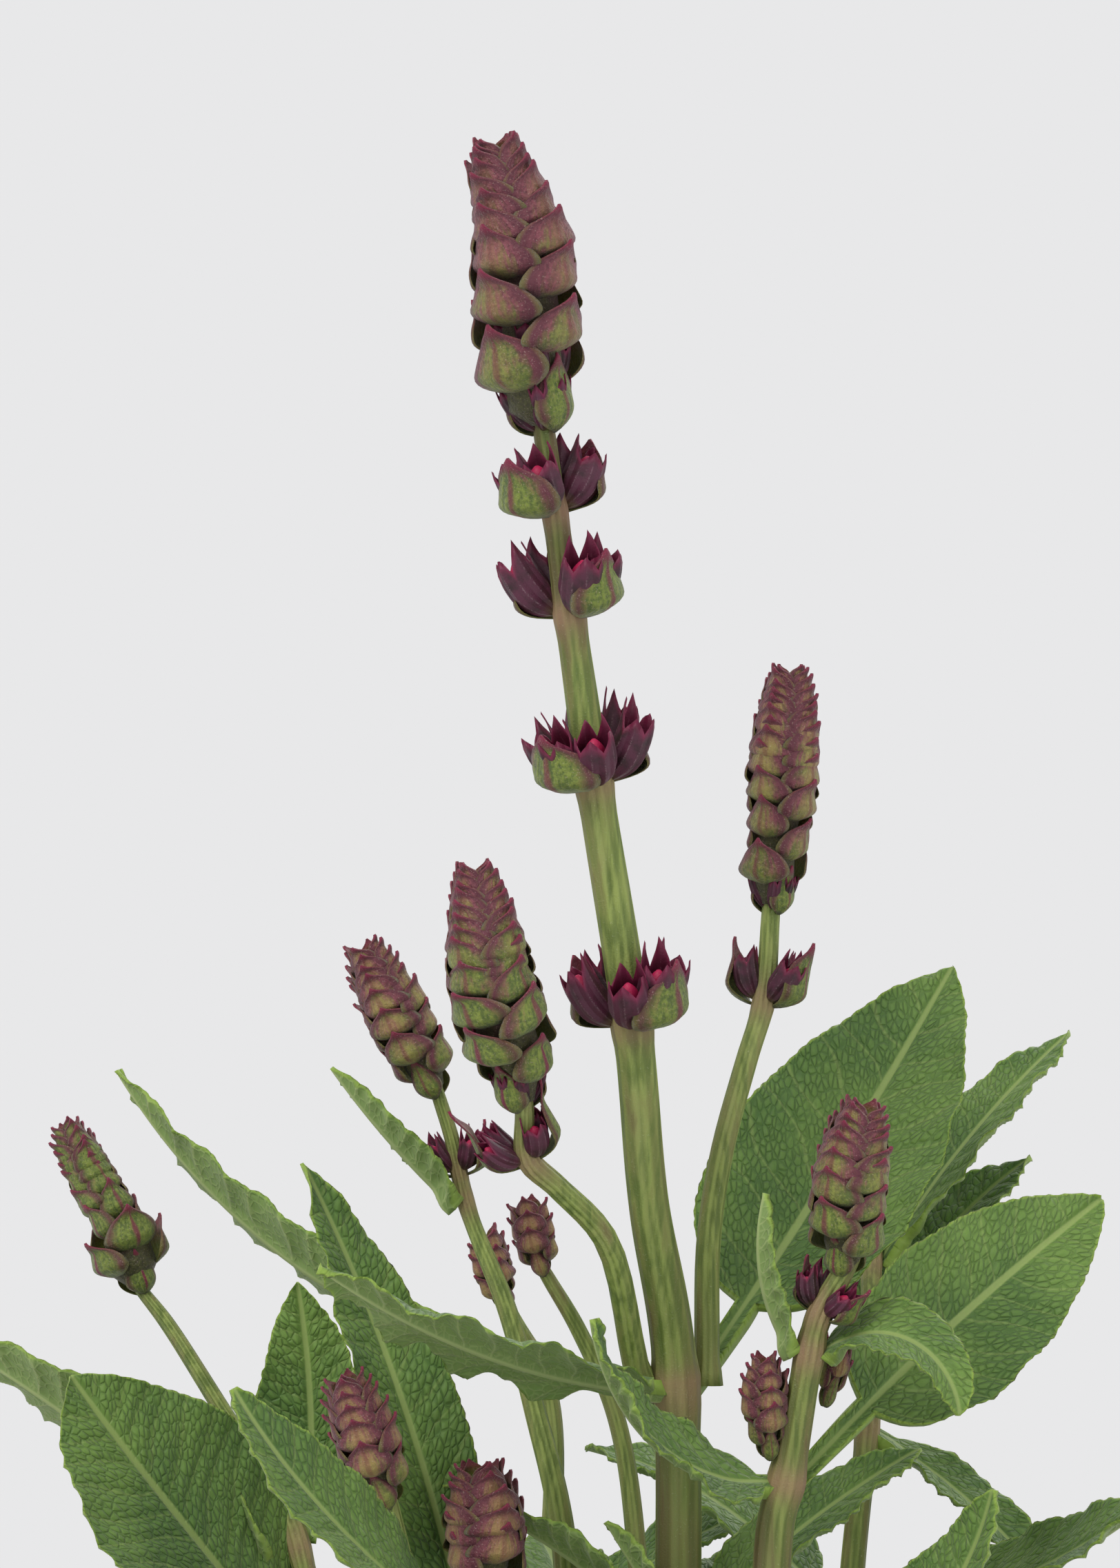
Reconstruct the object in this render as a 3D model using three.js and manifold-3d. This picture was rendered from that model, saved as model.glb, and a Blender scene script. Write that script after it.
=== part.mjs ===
// A woodland sage in bud, growing in a plain round pot.
// Millimetres, +Z up. The origin is the centre of the pot's underside.
// The front of the plant faces -Y and its right-hand side is +X.

import * as THREE from "three";
import { LoftGeometry } from "three/addons/geometries/LoftGeometry.js";
import { mergeVertices } from "three/addons/utils/BufferGeometryUtils.js";
import Module from "manifold-3d";

// ---- Driving dimensions ------------------------------------------------------------

const POT_HEIGHT = 110;
const POT_RIM_RADIUS = 65; // outside of the rim band
const POT_FOOT_RADIUS = 45; // outside of the body at the foot
const POT_WALL = 5.5;
const POT_FLOOR = 6;
const RIM_BAND_HEIGHT = 24;
const RIM_BAND_PROUD = 3; // how far the band stands out from the body
const RIM_ROUND = 1.5; // bevel of the rim and the foot edges
const BAND_DRAFT = 0.5; // how far the band narrows from its top to its foot
const BAND_SHOULDER = 1; // rise of the slope under the band
const POT_SEGMENTS = 40;

const DRAIN_COUNT = 3;
const DRAIN_RADIUS = 6;
const DRAIN_CIRCLE_RADIUS = 24; // the holes stand clear of the centre of the floor
const DRAIN_SEGMENTS = 16;
const DRAIN_FIRST_HEADING = 90; // degrees

const HEADSPACE = 14; // from the rim down to the soil's edge
const SOIL_CROWN = 2; // how far the soil rises from its edge to its middle
const SOIL_CLEARANCE = 0.5; // soil to pot
const PLANTING_DEPTH = 14; // how deep the stems' feet stand in the soil
const SOCKET_CLEARANCE = 0.35; // soil to stem

const PLANT_HEIGHT = 203; // from the middle of the soil to the tip of the tallest spike
const STEM_GIRTH = 1; // multiplies every stem's radius
const PIECE_CLEARANCE = 0.4; // between a stem and what grows out of it
const WHORL_CLEARANCE = 0.65; // between a bending stem and the cup around it
const STEM_SIDES = 8;
const STEM_CORNER = 1.06; // sage stems are square: corners stand out, faces sit in
const STEM_FACE = 0.96;
const STEM_STEP = 9; // length of a straight facet along a stem

const LEAF_LENGTH = 1; // multiplies every leaf's length
const LEAF_THICKNESS = 0.9; // at the midrib
const STALK_HALF_WIDTH = 0.9;
const LEAF_TIP_HALF_WIDTH = 0.35;
const LEAF_STEPS = 9;
const LEAF_RING = 8;
const LEAF_SWELL = 0.45; // a blade's outline is share^swell (1 - share)^taper
const LEAF_TAPER = 0.8;
const LEAF_CUP = 0.22; // how far a blade's edges rise, as a share of its half width

const SPIKE_SIDES = 10;
const WHORL_SEGMENTS = 12;

// ---- Derived places ----------------------------------------------------------------

const SOIL_EDGE = POT_HEIGHT - HEADSPACE;
const SOIL_TOP = SOIL_EDGE + SOIL_CROWN;
const BAND_FOOT = POT_HEIGHT - RIM_BAND_HEIGHT;
const BODY_TOP_RADIUS = POT_RIM_RADIUS - RIM_BAND_PROUD;
const DRAWN_HEIGHT = 203; // the height that the routes below are drawn for
const STRETCH = PLANT_HEIGHT / DRAWN_HEIGHT;

// ---- Stems: [x, y, height above the soil, radius] ----------------------------------
// A stem with no parent is rooted in the soil. A branch leaves its parent's side at a
// height and a heading (degrees from +X, anticlockwise from above).

const STEMS = {
  main: {
    route: [
      [1, 0, 0, 2.6], [2, -2, 31, 2.4], [3, -4, 61, 2.1], [3.3, -6, 105, 1.9],
      [1.1, -8.5, 119, 1.7], [-0.2, -11, 133, 1.65], [-3.2, -14, 152.2, 1.5],
      [-5.2, -16, 166, 1.25], [-6.4, -17, 174.3, 1], [-7.2, -17.8, 180.3, 0.9],
    ],
  },
  left: {
    parent: "main", height: 105.5, heading: -154, radius: 1.1,
    route: [[-2.3, -12, 116.2, 1], [-6.2, -14.5, 120.8, 0.9], [-8.6, -15.7, 123.3, 0.85],
      [-8.8, -17, 127.2, 0.8]],
  },
  right: {
    parent: "main", height: 105.5, heading: 40, radius: 1.1,
    route: [[6.1, -3, 115, 1.05], [7.2, -1.6, 122, 1], [9.2, 0, 129.2, 0.95],
      [10.7, 1, 134.2, 0.9], [11.3, 2, 141.4, 0.8]],
  },
  back_left: {
    route: [
      [-8, 9, 0, 1.6], [-6, 6, 31, 1.4], [-5.2, 2, 61, 1.2], [-5.7, 0, 89.8, 1.1],
      [-8.1, 2, 100.4, 0.95], [-10.4, 4, 108.4, 0.85], [-13.6, 6, 116.3, 0.7],
      [-15, 6, 122.4, 0.65], [-16, 6, 125.6, 0.6],
    ],
  },
  far_left: {
    route: [
      [-15, 15, 0, 1.6], [-19, 20, 31, 1.4], [-25, 25, 61, 1.2], [-29.7, 30, 86.3, 1],
      [-35.3, 34, 94.2, 0.8], [-40.9, 38, 102.1, 0.7], [-43, 39, 104.6, 0.6],
    ],
  },
  front_right: {
    route: [
      [9, -7, 0, 2.1], [10, -9, 31, 1.9], [10.5, -11, 61, 1.7], [11.2, -12, 93, 1.6],
      [12.1, -12.2, 97, 1.45], [13.8, -13.5, 107, 1.15], [14.5, -14, 110.2, 1],
      [16.4, -14, 113.8, 0.9],
    ],
  },
  front_left: {
    route: [[-10, -7, 0, 1.9], [-11, -9, 31, 1.7], [-12, -11, 61, 1.5], [-12.7, -12, 85, 1.3],
      [-12.2, -12, 87.3, 1]],
  },
  front_left_branch: {
    parent: "front_left", height: 74, heading: -140, radius: 0.9,
    route: [[-17.2, -15.2, 86, 0.8], [-19.4, -15.8, 95.4, 0.7]],
  },
  back_right: {
    route: [[13, 11, 0, 1.7], [16, 14, 37, 1.4], [18.9, 16, 84.4, 1.1], [20.3, 18, 97.2, 1],
      [21, 26, 109, 0.85], [22, 32, 114.5, 0.7]],
  },
  back_centre: {
    route: [[3, 16, 0, 1.4], [2, 14, 37, 1.2], [0.6, 12, 85, 0.9], [-1.2, 13, 97.6, 0.8],
      [-4.4, 13, 105.2, 0.7], [-7, 12.2, 109.8, 0.6]],
  },
  rear: {
    route: [[-6, 22, 0, 1.5], [-7, 26, 37, 1.3], [-7, 29, 77, 1], [-7, 30, 97, 0.9],
      [-10.5, 30, 104.5, 0.7]],
  },
};

// ---- Flower spikes, on top of their stems: [x, y, height above the soil, radius] ----

const SPIKES = {
  main: [[-7.4, -18, 181.2, 1.8], [-7.7, -18.1, 182.6, 4.2], [-8.2, -18.2, 185.6, 4.4],
    [-8.6, -18.6, 190, 4.2], [-9.1, -19, 195.3, 4], [-10.1, -19.5, 199.2, 2.9],
    [-11.1, -20, 203, 1.4]],
  left: [[-9, -17.2, 128, 1.8], [-9.3, -17.5, 130, 2.9], [-9.9, -18, 132.6, 3.7],
    [-10.9, -18.5, 135.5, 3.7], [-11.7, -19, 139.7, 3.2], [-12.3, -19, 143.9, 2.2],
    [-12.7, -19, 146.6, 1]],
  right: [[11.4, 2, 142.1, 1.6], [11.5, 2, 144, 2.9], [11.8, 2, 147, 2.4], [12, 2, 150, 2.9],
    [12.4, 2, 155, 2.9], [12.7, 2, 159, 2.1], [12.8, 2, 161.3, 1]],
  back_left: [[-16.4, 6, 126.5, 1.4], [-17.3, 6, 128.4, 2.6], [-19.1, 6, 132, 2.8],
    [-21, 6, 135.7, 2.2], [-22.4, 6, 138.5, 1.1]],
  far_left: [[-43.4, 39.2, 105.3, 1.4], [-43.9, 39.3, 106.8, 3.6], [-44.6, 39.6, 109, 3.4],
    [-45.4, 40, 110.8, 2.1], [-47.2, 41, 113.7, 2.2], [-49, 41.5, 117, 1.9],
    [-50.2, 42, 119.4, 0.9]],
  front_right: [[16.6, -14, 114.5, 1.5], [16.7, -14.3, 116.2, 2.9], [16.8, -14.8, 119.5, 3.1],
    [17.2, -15, 123, 2.9], [17.8, -15, 125.8, 2], [18.1, -15, 127.4, 0.9]],
  front_left: [[-12.1, -12, 88.4, 1.6], [-12, -12, 90, 3.1], [-12.1, -12, 93.5, 3.3],
    [-12.4, -12, 96.3, 2.2], [-12.5, -12, 98, 1]],
  front_left_branch: [[-19.7, -15.9, 96.2, 1.4], [-20.4, -16, 98.2, 2.5], [-21.4, -16, 101.2, 2.6],
    [-22.4, -16, 104, 1.9], [-23, -16, 105.8, 0.9]],
  back_right: [[22.2, 32.6, 115.4, 0.9], [22.4, 33.2, 117, 1.8], [22.6, 34, 120, 1.8],
    [22.8, 34.6, 122.4, 0.8]],
  back_centre: [[-7.5, 12, 110.8, 0.9], [-7.9, 12, 112.2, 1.8], [-8.4, 12, 114.6, 1.7],
    [-8.7, 12, 116.4, 0.7]],
  rear: [[-10.9, 30, 105.4, 0.9], [-11.5, 30, 107, 1.8], [-12.2, 30, 109.6, 1.6],
    [-12.7, 30, 111.4, 0.7]],
};

// ---- Whorls of calyxes and bracts around a stem -------------------------------------
// [stem, height above the soil of the node it sits on, outer radius, height of the cup]

const WHORLS = {
  whorl_main_lowest: ["main", 133.6, 5.6, 8.2],
  whorl_main_low: ["main", 152.6, 5.1, 8.2],
  whorl_main_middle: ["main", 166.4, 4.8, 7.2],
  whorl_main_high: ["main", 174.7, 4.8, 5.2],
  whorl_left: ["left", 123.6, 3.8, 3.4],
  whorl_right: ["right", 134.4, 4.2, 5.2],
  whorl_back_left: ["back_left", 120, 3.2, 2.8],
  whorl_front_right: ["front_right", 111.3, 3.2, 2.6],
};

// ---- Leaves --------------------------------------------------------------------------
// [stem, height, heading, rise, bend, swing, length, width, roll, stalk share].
// The midrib leaves the stem at its heading and rise; its rise changes by bend and its
// heading by swing on the way to the tip. Roll turns the blade about its midrib. Degrees.

const LEAVES = {
  leaf_main_left: ["main", 104, -144, 6, 30, -17, 33, 12, 16, 0.06],
  leaf_main_right: ["main", 103, 52, 37, 14, -11, 47, 19, 24, 0.22],
  leaf_front_right_inner: ["front_right", 97, -152, 2, 78, 5, 23.5, 9, -30, 0.06],
  leaf_front_right_outer: ["front_right", 97, 34, 38, -10, 0, 37.5, 14, 55, 0.24],
  bract_front_right: ["front_right", 107.4, -18, 46, -130, -16, 16, 7, 25, 0.05],
  bract_front_right_inner: ["front_right", 107.8, -170, 54, 50, 5, 13, 4, 0, 0.05],
  leaf_front_left_back: ["front_left", 83.5, 134, 74, -10, 41, 41, 9, -35, 0.12],
  leaf_front_left_front: ["front_left", 84, -104, 24, 36, -78, 35, 12.5, -32, 0.06],
  leaf_far_left_low: ["far_left", 72, -138, 50, 4, -50, 36, 23, -50, 0.15],
  leaf_far_left_outer: ["far_left", 79, 176, 44, -14, 0, 40, 12, 40, 0.1],
  leaf_far_left_inner: ["far_left", 84, 20, 84, 16, 0, 23, 10, 70, 0.1],
  leaf_rear_left: ["rear", 100, 154, 6, 48, 0, 49, 9, 45, 0.12],
  bract_back_left: ["back_left", 117.2, -163, 42, 12, -11, 15.5, 4.5, 20, 0.05],
  leaf_back_right_up: ["back_right", 97.5, 77, 52, -19, -60, 30, 11, 10, 0.15],
  leaf_back_right_top: ["back_right", 109, 24, 56, -28, 20, 29, 9, 0, 0.12],
  leaf_back_right_down: ["back_right", 96, -8, -30, -22, -25, 24, 7, 10, 0.08],
  leaf_back_right_front: ["back_right", 80, -40, 14, 24, -8, 37, 11, 30, 0.15],
  leaf_front_right_low: ["front_right", 77, -14, 22, 56, 0, 27, 11, 45, 0.1],
  leaf_low_front: ["main", 62, -78, 26, -66, 10, 54, 22, 0, 0.24],
  leaf_low_front_left: ["front_left", 54, -152, 28, -68, -8, 56, 18, 0, 0.24],
  leaf_low_front_right: ["front_right", 52, -26, 26, -64, 8, 55, 22, 0, 0.24],
  leaf_low_left: ["back_left", 46, 176, 32, -66, 8, 58, 22, 0, 0.26],
  leaf_low_back_left: ["far_left", 38, 138, 28, -62, 6, 48, 21, 0, 0.24],
  leaf_low_back: ["rear", 52, 88, 30, -72, -8, 46, 20, 0, 0.24],
  leaf_low_back_right: ["back_right", 56, 46, 28, -66, 6, 50, 21, 0, 0.24],
  leaf_low_right: ["back_right", 32, 2, 30, -60, -8, 52, 21, 0, 0.24],
  leaf_base_front: ["front_left", 24, -100, 26, -56, 8, 50, 21, 0, 0.28],
  leaf_base_front_right: ["front_right", 22, -62, 24, -54, -8, 50, 21, 0, 0.28],
};

// ---- Colours --------------------------------------------------------------------------

const CLAY = new THREE.MeshStandardMaterial({ color: 0xb5694a, roughness: 0.85, metalness: 0 });
const SOIL = new THREE.MeshStandardMaterial({ color: 0x3a2a20, roughness: 1, metalness: 0 });
const STEM_GREEN = new THREE.MeshStandardMaterial({ color: 0x7c8f58, roughness: 0.6, metalness: 0 });
const LEAF_GREEN = new THREE.MeshStandardMaterial({ color: 0x587a48, roughness: 0.6, metalness: 0 });
const BUD_PURPLE = new THREE.MeshStandardMaterial({ color: 0x7d3f55, roughness: 0.6, metalness: 0 });
const CALYX_PURPLE = new THREE.MeshStandardMaterial({ color: 0x4a2c3c, roughness: 0.6, metalness: 0 });

const wasm = await Module();
wasm.setup();

const UP = new THREE.Vector3(0, 0, 1);

// A closed geometry as a solid for cutting.
function solidOf(geometry) {
  const bare = new THREE.BufferGeometry();
  bare.setAttribute("position", geometry.getAttribute("position"));
  bare.setIndex(geometry.getIndex());
  const merged = mergeVertices(bare, 1e-3);
  return new wasm.Manifold(new wasm.Mesh({
    numProp: 3,
    vertProperties: new Float32Array(merged.attributes.position.array),
    triVerts: new Uint32Array(merged.index.array),
  }));
}

// A cut solid back as a geometry.
function geometryOf(solid) {
  const { vertProperties, triVerts } = solid.getMesh();
  const geometry = new THREE.BufferGeometry();
  geometry.setAttribute("position", new THREE.BufferAttribute(vertProperties, 3));
  geometry.setIndex(new THREE.BufferAttribute(triVerts, 1));
  geometry.computeVertexNormals();
  return geometry;
}

// A heading in degrees as a level direction.
function level(heading) {
  const turn = THREE.MathUtils.degToRad(heading);
  return new THREE.Vector3(Math.cos(turn), Math.sin(turn), 0);
}

// A drawn height above the soil as a place on Z.
function heightOnZ(height) {
  return SOIL_TOP + height * STRETCH;
}

// A route's smooth centre line, with the radius carried along it.
function centreLine(rows) {
  const points = rows.map(([x, y, height]) => new THREE.Vector3(x, y, heightOnZ(height)));
  const line = new THREE.CatmullRomCurve3(points, false, "centripetal");
  const spans = rows.length - 1;
  const radiusAt = (t) => {
    const span = Math.min(Math.floor(t * spans), spans - 1);
    return THREE.MathUtils.lerp(rows[span][3], rows[span + 1][3], t * spans - span);
  };
  return { pointAt: (t) => line.getPoint(t), tangentAt: (t) => line.getTangent(t), radiusAt };
}

// Where a stem's centre line passes a drawn height.
function crossing(stem, height) {
  const z = heightOnZ(height);
  let low = 0;
  let high = 1;
  while (high - low > 1e-6) {
    const middle = (low + high) / 2;
    if (stem.pointAt(middle).z < z) low = middle;
    else high = middle;
  }
  return { point: stem.pointAt(low), tangent: stem.tangentAt(low), radius: stem.radiusAt(low) };
}

// A ring of points across a direction; reach gives its radius at each side number.
function ring(centre, direction, sides, reach) {
  const across = new THREE.Vector3(1, 0, 0).addScaledVector(direction, -direction.x).normalize();
  const forward = new THREE.Vector3().crossVectors(direction, across);
  return Array.from({ length: sides }, (_, side) => {
    const angle = (side / sides) * 2 * Math.PI;
    const radius = reach(side);
    return centre.clone()
      .addScaledVector(across, radius * Math.cos(angle))
      .addScaledVector(forward, radius * Math.sin(angle));
  });
}

function loft(sections) {
  return new LoftGeometry(sections, { capStart: true, capEnd: true });
}

// A square stem with blunt corners; extra widens it all round, for the socket it stands in.
function stemGeometry(stem, extra = 0) {
  const bottom = stem.pointAt(0).z;
  const steps = Math.max(3, Math.ceil((stem.pointAt(1).z - bottom) / STEM_STEP));
  const sections = Array.from({ length: steps + 1 }, (_, step) => {
    const t = step / steps;
    const reach = (side) => stem.radiusAt(t) * (side % 2 ? STEM_CORNER : STEM_FACE) + extra;
    return ring(stem.pointAt(t), stem.tangentAt(t), STEM_SIDES, reach);
  });
  if (!stem.parent) {
    const foot = new THREE.Vector3(0, 0, -PLANTING_DEPTH - extra);
    sections.unshift(sections[0].map((point) => point.clone().add(foot)));
  }
  return loft(sections);
}

// A spike's body, wide where its bracts stand out.
function spikeGeometry(rows) {
  const line = centreLine(rows);
  const steps = rows.length * 2;
  const sections = Array.from({ length: steps + 1 }, (_, step) => {
    const t = step / steps;
    return ring(line.pointAt(t), line.tangentAt(t), SPIKE_SIDES, () => line.radiusAt(t));
  });
  return loft(sections);
}

function named(name, geometry, material) {
  const mesh = new THREE.Mesh(geometry, material);
  mesh.name = name;
  return mesh;
}

// A cup of calyxes with the stem passing through it.
function whorlMesh(name, [stemName, height, radius, cup]) {
  const { point, tangent, radius: stemRadius } = crossing(stems[stemName], height);
  const inner = stemRadius * STEM_CORNER + WHORL_CLEARANCE;
  const profile = [
    [inner, 0], [radius * 0.7, cup * 0.05], [radius, cup * 0.45], [radius * 0.97, cup],
    [Math.max(inner + 0.6, radius * 0.5), cup * 0.85], [inner, cup * 0.5], [inner, 0],
  ];
  const mesh = named(name, turned(profile, WHORL_SEGMENTS), CALYX_PURPLE);
  mesh.position.copy(point);
  mesh.quaternion.setFromUnitVectors(UP, tangent.clone().normalize());
  return mesh;
}

// A leaf's half width along it: a slim stalk, then a blade that is widest at its lower third.
function halfWidth(share, width, stalk) {
  if (share <= stalk) return STALK_HALF_WIDTH;
  const blade = (share - stalk) / (1 - stalk);
  const peak = LEAF_SWELL / (LEAF_SWELL + LEAF_TAPER);
  const outline = (at) => at ** LEAF_SWELL * (1 - at) ** LEAF_TAPER;
  const swell = outline(blade) / outline(peak);
  const edge = THREE.MathUtils.lerp(STALK_HALF_WIDTH, LEAF_TIP_HALF_WIDTH, blade);
  return Math.max(edge, (width / 2) * swell);
}

// A leaf as a thin cupped lens carried along its midrib.
function leafGeometry([stemName, height, heading, rise, bend, swing, length, width, roll, stalk]) {
  const { point, radius } = crossing(stems[stemName], height);
  const place = point.clone()
    .addScaledVector(level(heading), radius * STEM_CORNER + PIECE_CLEARANCE + LEAF_THICKNESS / 2);
  const stride = (length * LEAF_LENGTH) / LEAF_STEPS;
  const turn = THREE.MathUtils.degToRad(roll);
  const sections = [];
  for (let step = 0; step <= LEAF_STEPS; step += 1) {
    const share = step / LEAF_STEPS;
    const climb = THREE.MathUtils.degToRad(rise + bend * share);
    const flat = level(heading + swing * share);
    const along = flat.clone().multiplyScalar(Math.cos(climb)).addScaledVector(UP, Math.sin(climb));
    const side = new THREE.Vector3().crossVectors(UP, flat).applyAxisAngle(along, turn);
    const face = new THREE.Vector3().crossVectors(along, side);
    const half = halfWidth(share, width, stalk);
    const cup = LEAF_CUP * half * Math.sin(Math.PI * share);
    sections.push(Array.from({ length: LEAF_RING }, (_, corner) => {
      const angle = (corner / LEAF_RING) * 2 * Math.PI;
      const across = Math.cos(angle);
      return place.clone()
        .addScaledVector(side, half * across)
        .addScaledVector(face, (LEAF_THICKNESS / 2) * Math.sin(angle) + cup * across ** 2);
    }));
    place.addScaledVector(along, stride);
  }
  return loft(sections);
}

// The radius of the pot's inside at a height: tapered up to the band, then straight.
function potInside(z) {
  const share = Math.min(z / BAND_FOOT, 1);
  return THREE.MathUtils.lerp(POT_FOOT_RADIUS, BODY_TOP_RADIUS, share) - POT_WALL;
}

// A profile of [radius, height] pairs turned about Z.
function turned(pairs, segments) {
  const profile = pairs.map(([across, up]) => new THREE.Vector2(across, up));
  return new THREE.LatheGeometry(profile, segments).rotateX(Math.PI / 2);
}

// The pot: a tapered body with a heavier band at the rim and holes through the floor.
function potGeometry() {
  const inside = potInside(POT_HEIGHT);
  let pot = solidOf(turned([
    [0, 0], [POT_FOOT_RADIUS - RIM_ROUND, 0], [POT_FOOT_RADIUS, RIM_ROUND],
    [BODY_TOP_RADIUS, BAND_FOOT], [POT_RIM_RADIUS - BAND_DRAFT, BAND_FOOT + BAND_SHOULDER],
    [POT_RIM_RADIUS, POT_HEIGHT - RIM_ROUND], [POT_RIM_RADIUS - RIM_ROUND, POT_HEIGHT],
    [inside + RIM_ROUND, POT_HEIGHT], [inside, POT_HEIGHT - RIM_ROUND],
    [potInside(BAND_FOOT), BAND_FOOT], [potInside(POT_FLOOR), POT_FLOOR], [0, POT_FLOOR],
  ], POT_SEGMENTS));
  for (let hole = 0; hole < DRAIN_COUNT; hole += 1) {
    const drill = new THREE.CylinderGeometry(DRAIN_RADIUS, DRAIN_RADIUS, POT_FLOOR * 3, DRAIN_SEGMENTS);
    const place = level(DRAIN_FIRST_HEADING + (hole * 360) / DRAIN_COUNT);
    place.multiplyScalar(DRAIN_CIRCLE_RADIUS);
    drill.rotateX(Math.PI / 2).translate(place.x, place.y, POT_FLOOR / 2);
    pot = pot.subtract(solidOf(drill));
  }
  return geometryOf(pot);
}

// The soil fills the pot and holds a socket for each rooted stem.
function soilGeometry() {
  const bottom = POT_FLOOR + SOIL_CLEARANCE;
  const edge = (z) => potInside(z) - SOIL_CLEARANCE;
  const brim = edge(SOIL_EDGE);
  let soil = solidOf(turned([
    [0, bottom], [edge(bottom), bottom], [edge(BAND_FOOT), BAND_FOOT], [brim, SOIL_EDGE],
    [brim * 0.7, SOIL_EDGE + SOIL_CROWN * 0.7], [brim * 0.35, SOIL_TOP], [0, SOIL_TOP],
  ], POT_SEGMENTS));
  for (const stem of Object.values(stems)) {
    if (!stem.parent) soil = soil.subtract(solidOf(stemGeometry(stem, SOCKET_CLEARANCE)));
  }
  return geometryOf(soil);
}

// Each stem's centre line; a branch starts clear of its parent's side.
const stems = {};
for (const [name, { parent, height, heading, radius, route }] of Object.entries(STEMS)) {
  const rows = route.map((row) => [...row]);
  if (parent) {
    const { point, radius: girth } = crossing(stems[parent], height);
    const start = point.addScaledVector(level(heading), girth * STEM_CORNER + radius * STEM_GIRTH
      + PIECE_CLEARANCE);
    rows.unshift([start.x, start.y, (start.z - SOIL_TOP) / STRETCH, radius]);
  }
  for (const row of rows) row[3] *= STEM_GIRTH;
  stems[name] = { ...centreLine(rows), parent };
}

const sage = new THREE.Group();
sage.add(named("pot", potGeometry(), CLAY));
sage.add(named("soil", soilGeometry(), SOIL));
for (const [name, stem] of Object.entries(stems)) {
  sage.add(named(`stem_${name}`, stemGeometry(stem), STEM_GREEN));
}
for (const [name, rows] of Object.entries(SPIKES)) {
  sage.add(named(`spike_${name}`, spikeGeometry(rows), BUD_PURPLE));
}
for (const [name, whorl] of Object.entries(WHORLS)) sage.add(whorlMesh(name, whorl));
for (const [name, leaf] of Object.entries(LEAVES)) {
  sage.add(named(name, leafGeometry(leaf), LEAF_GREEN));
}

export default sage;
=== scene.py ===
"""A woodland sage in bud, growing in a plain clay pot.

The pot's and the soil's sizes come from the boxes of their nodes in the frame. The plant is
worked out from the routes, rows and sizes below, in millimetres, and each shape becomes metres
when its mesh is made.
"""

from __future__ import annotations

import logging
import math
from dataclasses import dataclass
from enum import Enum
from typing import Any, Iterable, Mapping, Sequence, Union

import bpy
import numpy as np
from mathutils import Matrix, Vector

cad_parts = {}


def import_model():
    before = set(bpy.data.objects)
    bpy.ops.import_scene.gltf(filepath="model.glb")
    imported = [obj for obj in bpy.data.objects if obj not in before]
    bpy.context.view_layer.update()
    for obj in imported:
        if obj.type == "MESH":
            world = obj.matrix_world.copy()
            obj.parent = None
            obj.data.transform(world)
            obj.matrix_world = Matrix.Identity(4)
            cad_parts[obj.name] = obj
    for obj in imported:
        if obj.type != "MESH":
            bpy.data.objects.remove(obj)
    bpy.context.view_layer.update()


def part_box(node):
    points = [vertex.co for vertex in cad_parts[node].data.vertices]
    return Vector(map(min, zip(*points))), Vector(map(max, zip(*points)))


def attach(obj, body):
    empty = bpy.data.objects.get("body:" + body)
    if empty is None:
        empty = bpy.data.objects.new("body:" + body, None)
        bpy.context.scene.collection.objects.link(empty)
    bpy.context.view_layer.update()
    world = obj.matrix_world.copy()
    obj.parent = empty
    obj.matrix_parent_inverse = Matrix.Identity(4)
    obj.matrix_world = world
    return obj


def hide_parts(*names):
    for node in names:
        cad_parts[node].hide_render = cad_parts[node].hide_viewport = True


LOG = logging.getLogger("potted_sage")
MM = 0.001
TURN = 2 * math.pi
UP = np.array([0.0, 0.0, 1.0])
EAST = np.array([1.0, 0.0, 0.0])
Array = np.ndarray

# ---- Routes of the stems: x, y, height above the soil, radius ---------------------------

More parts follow.
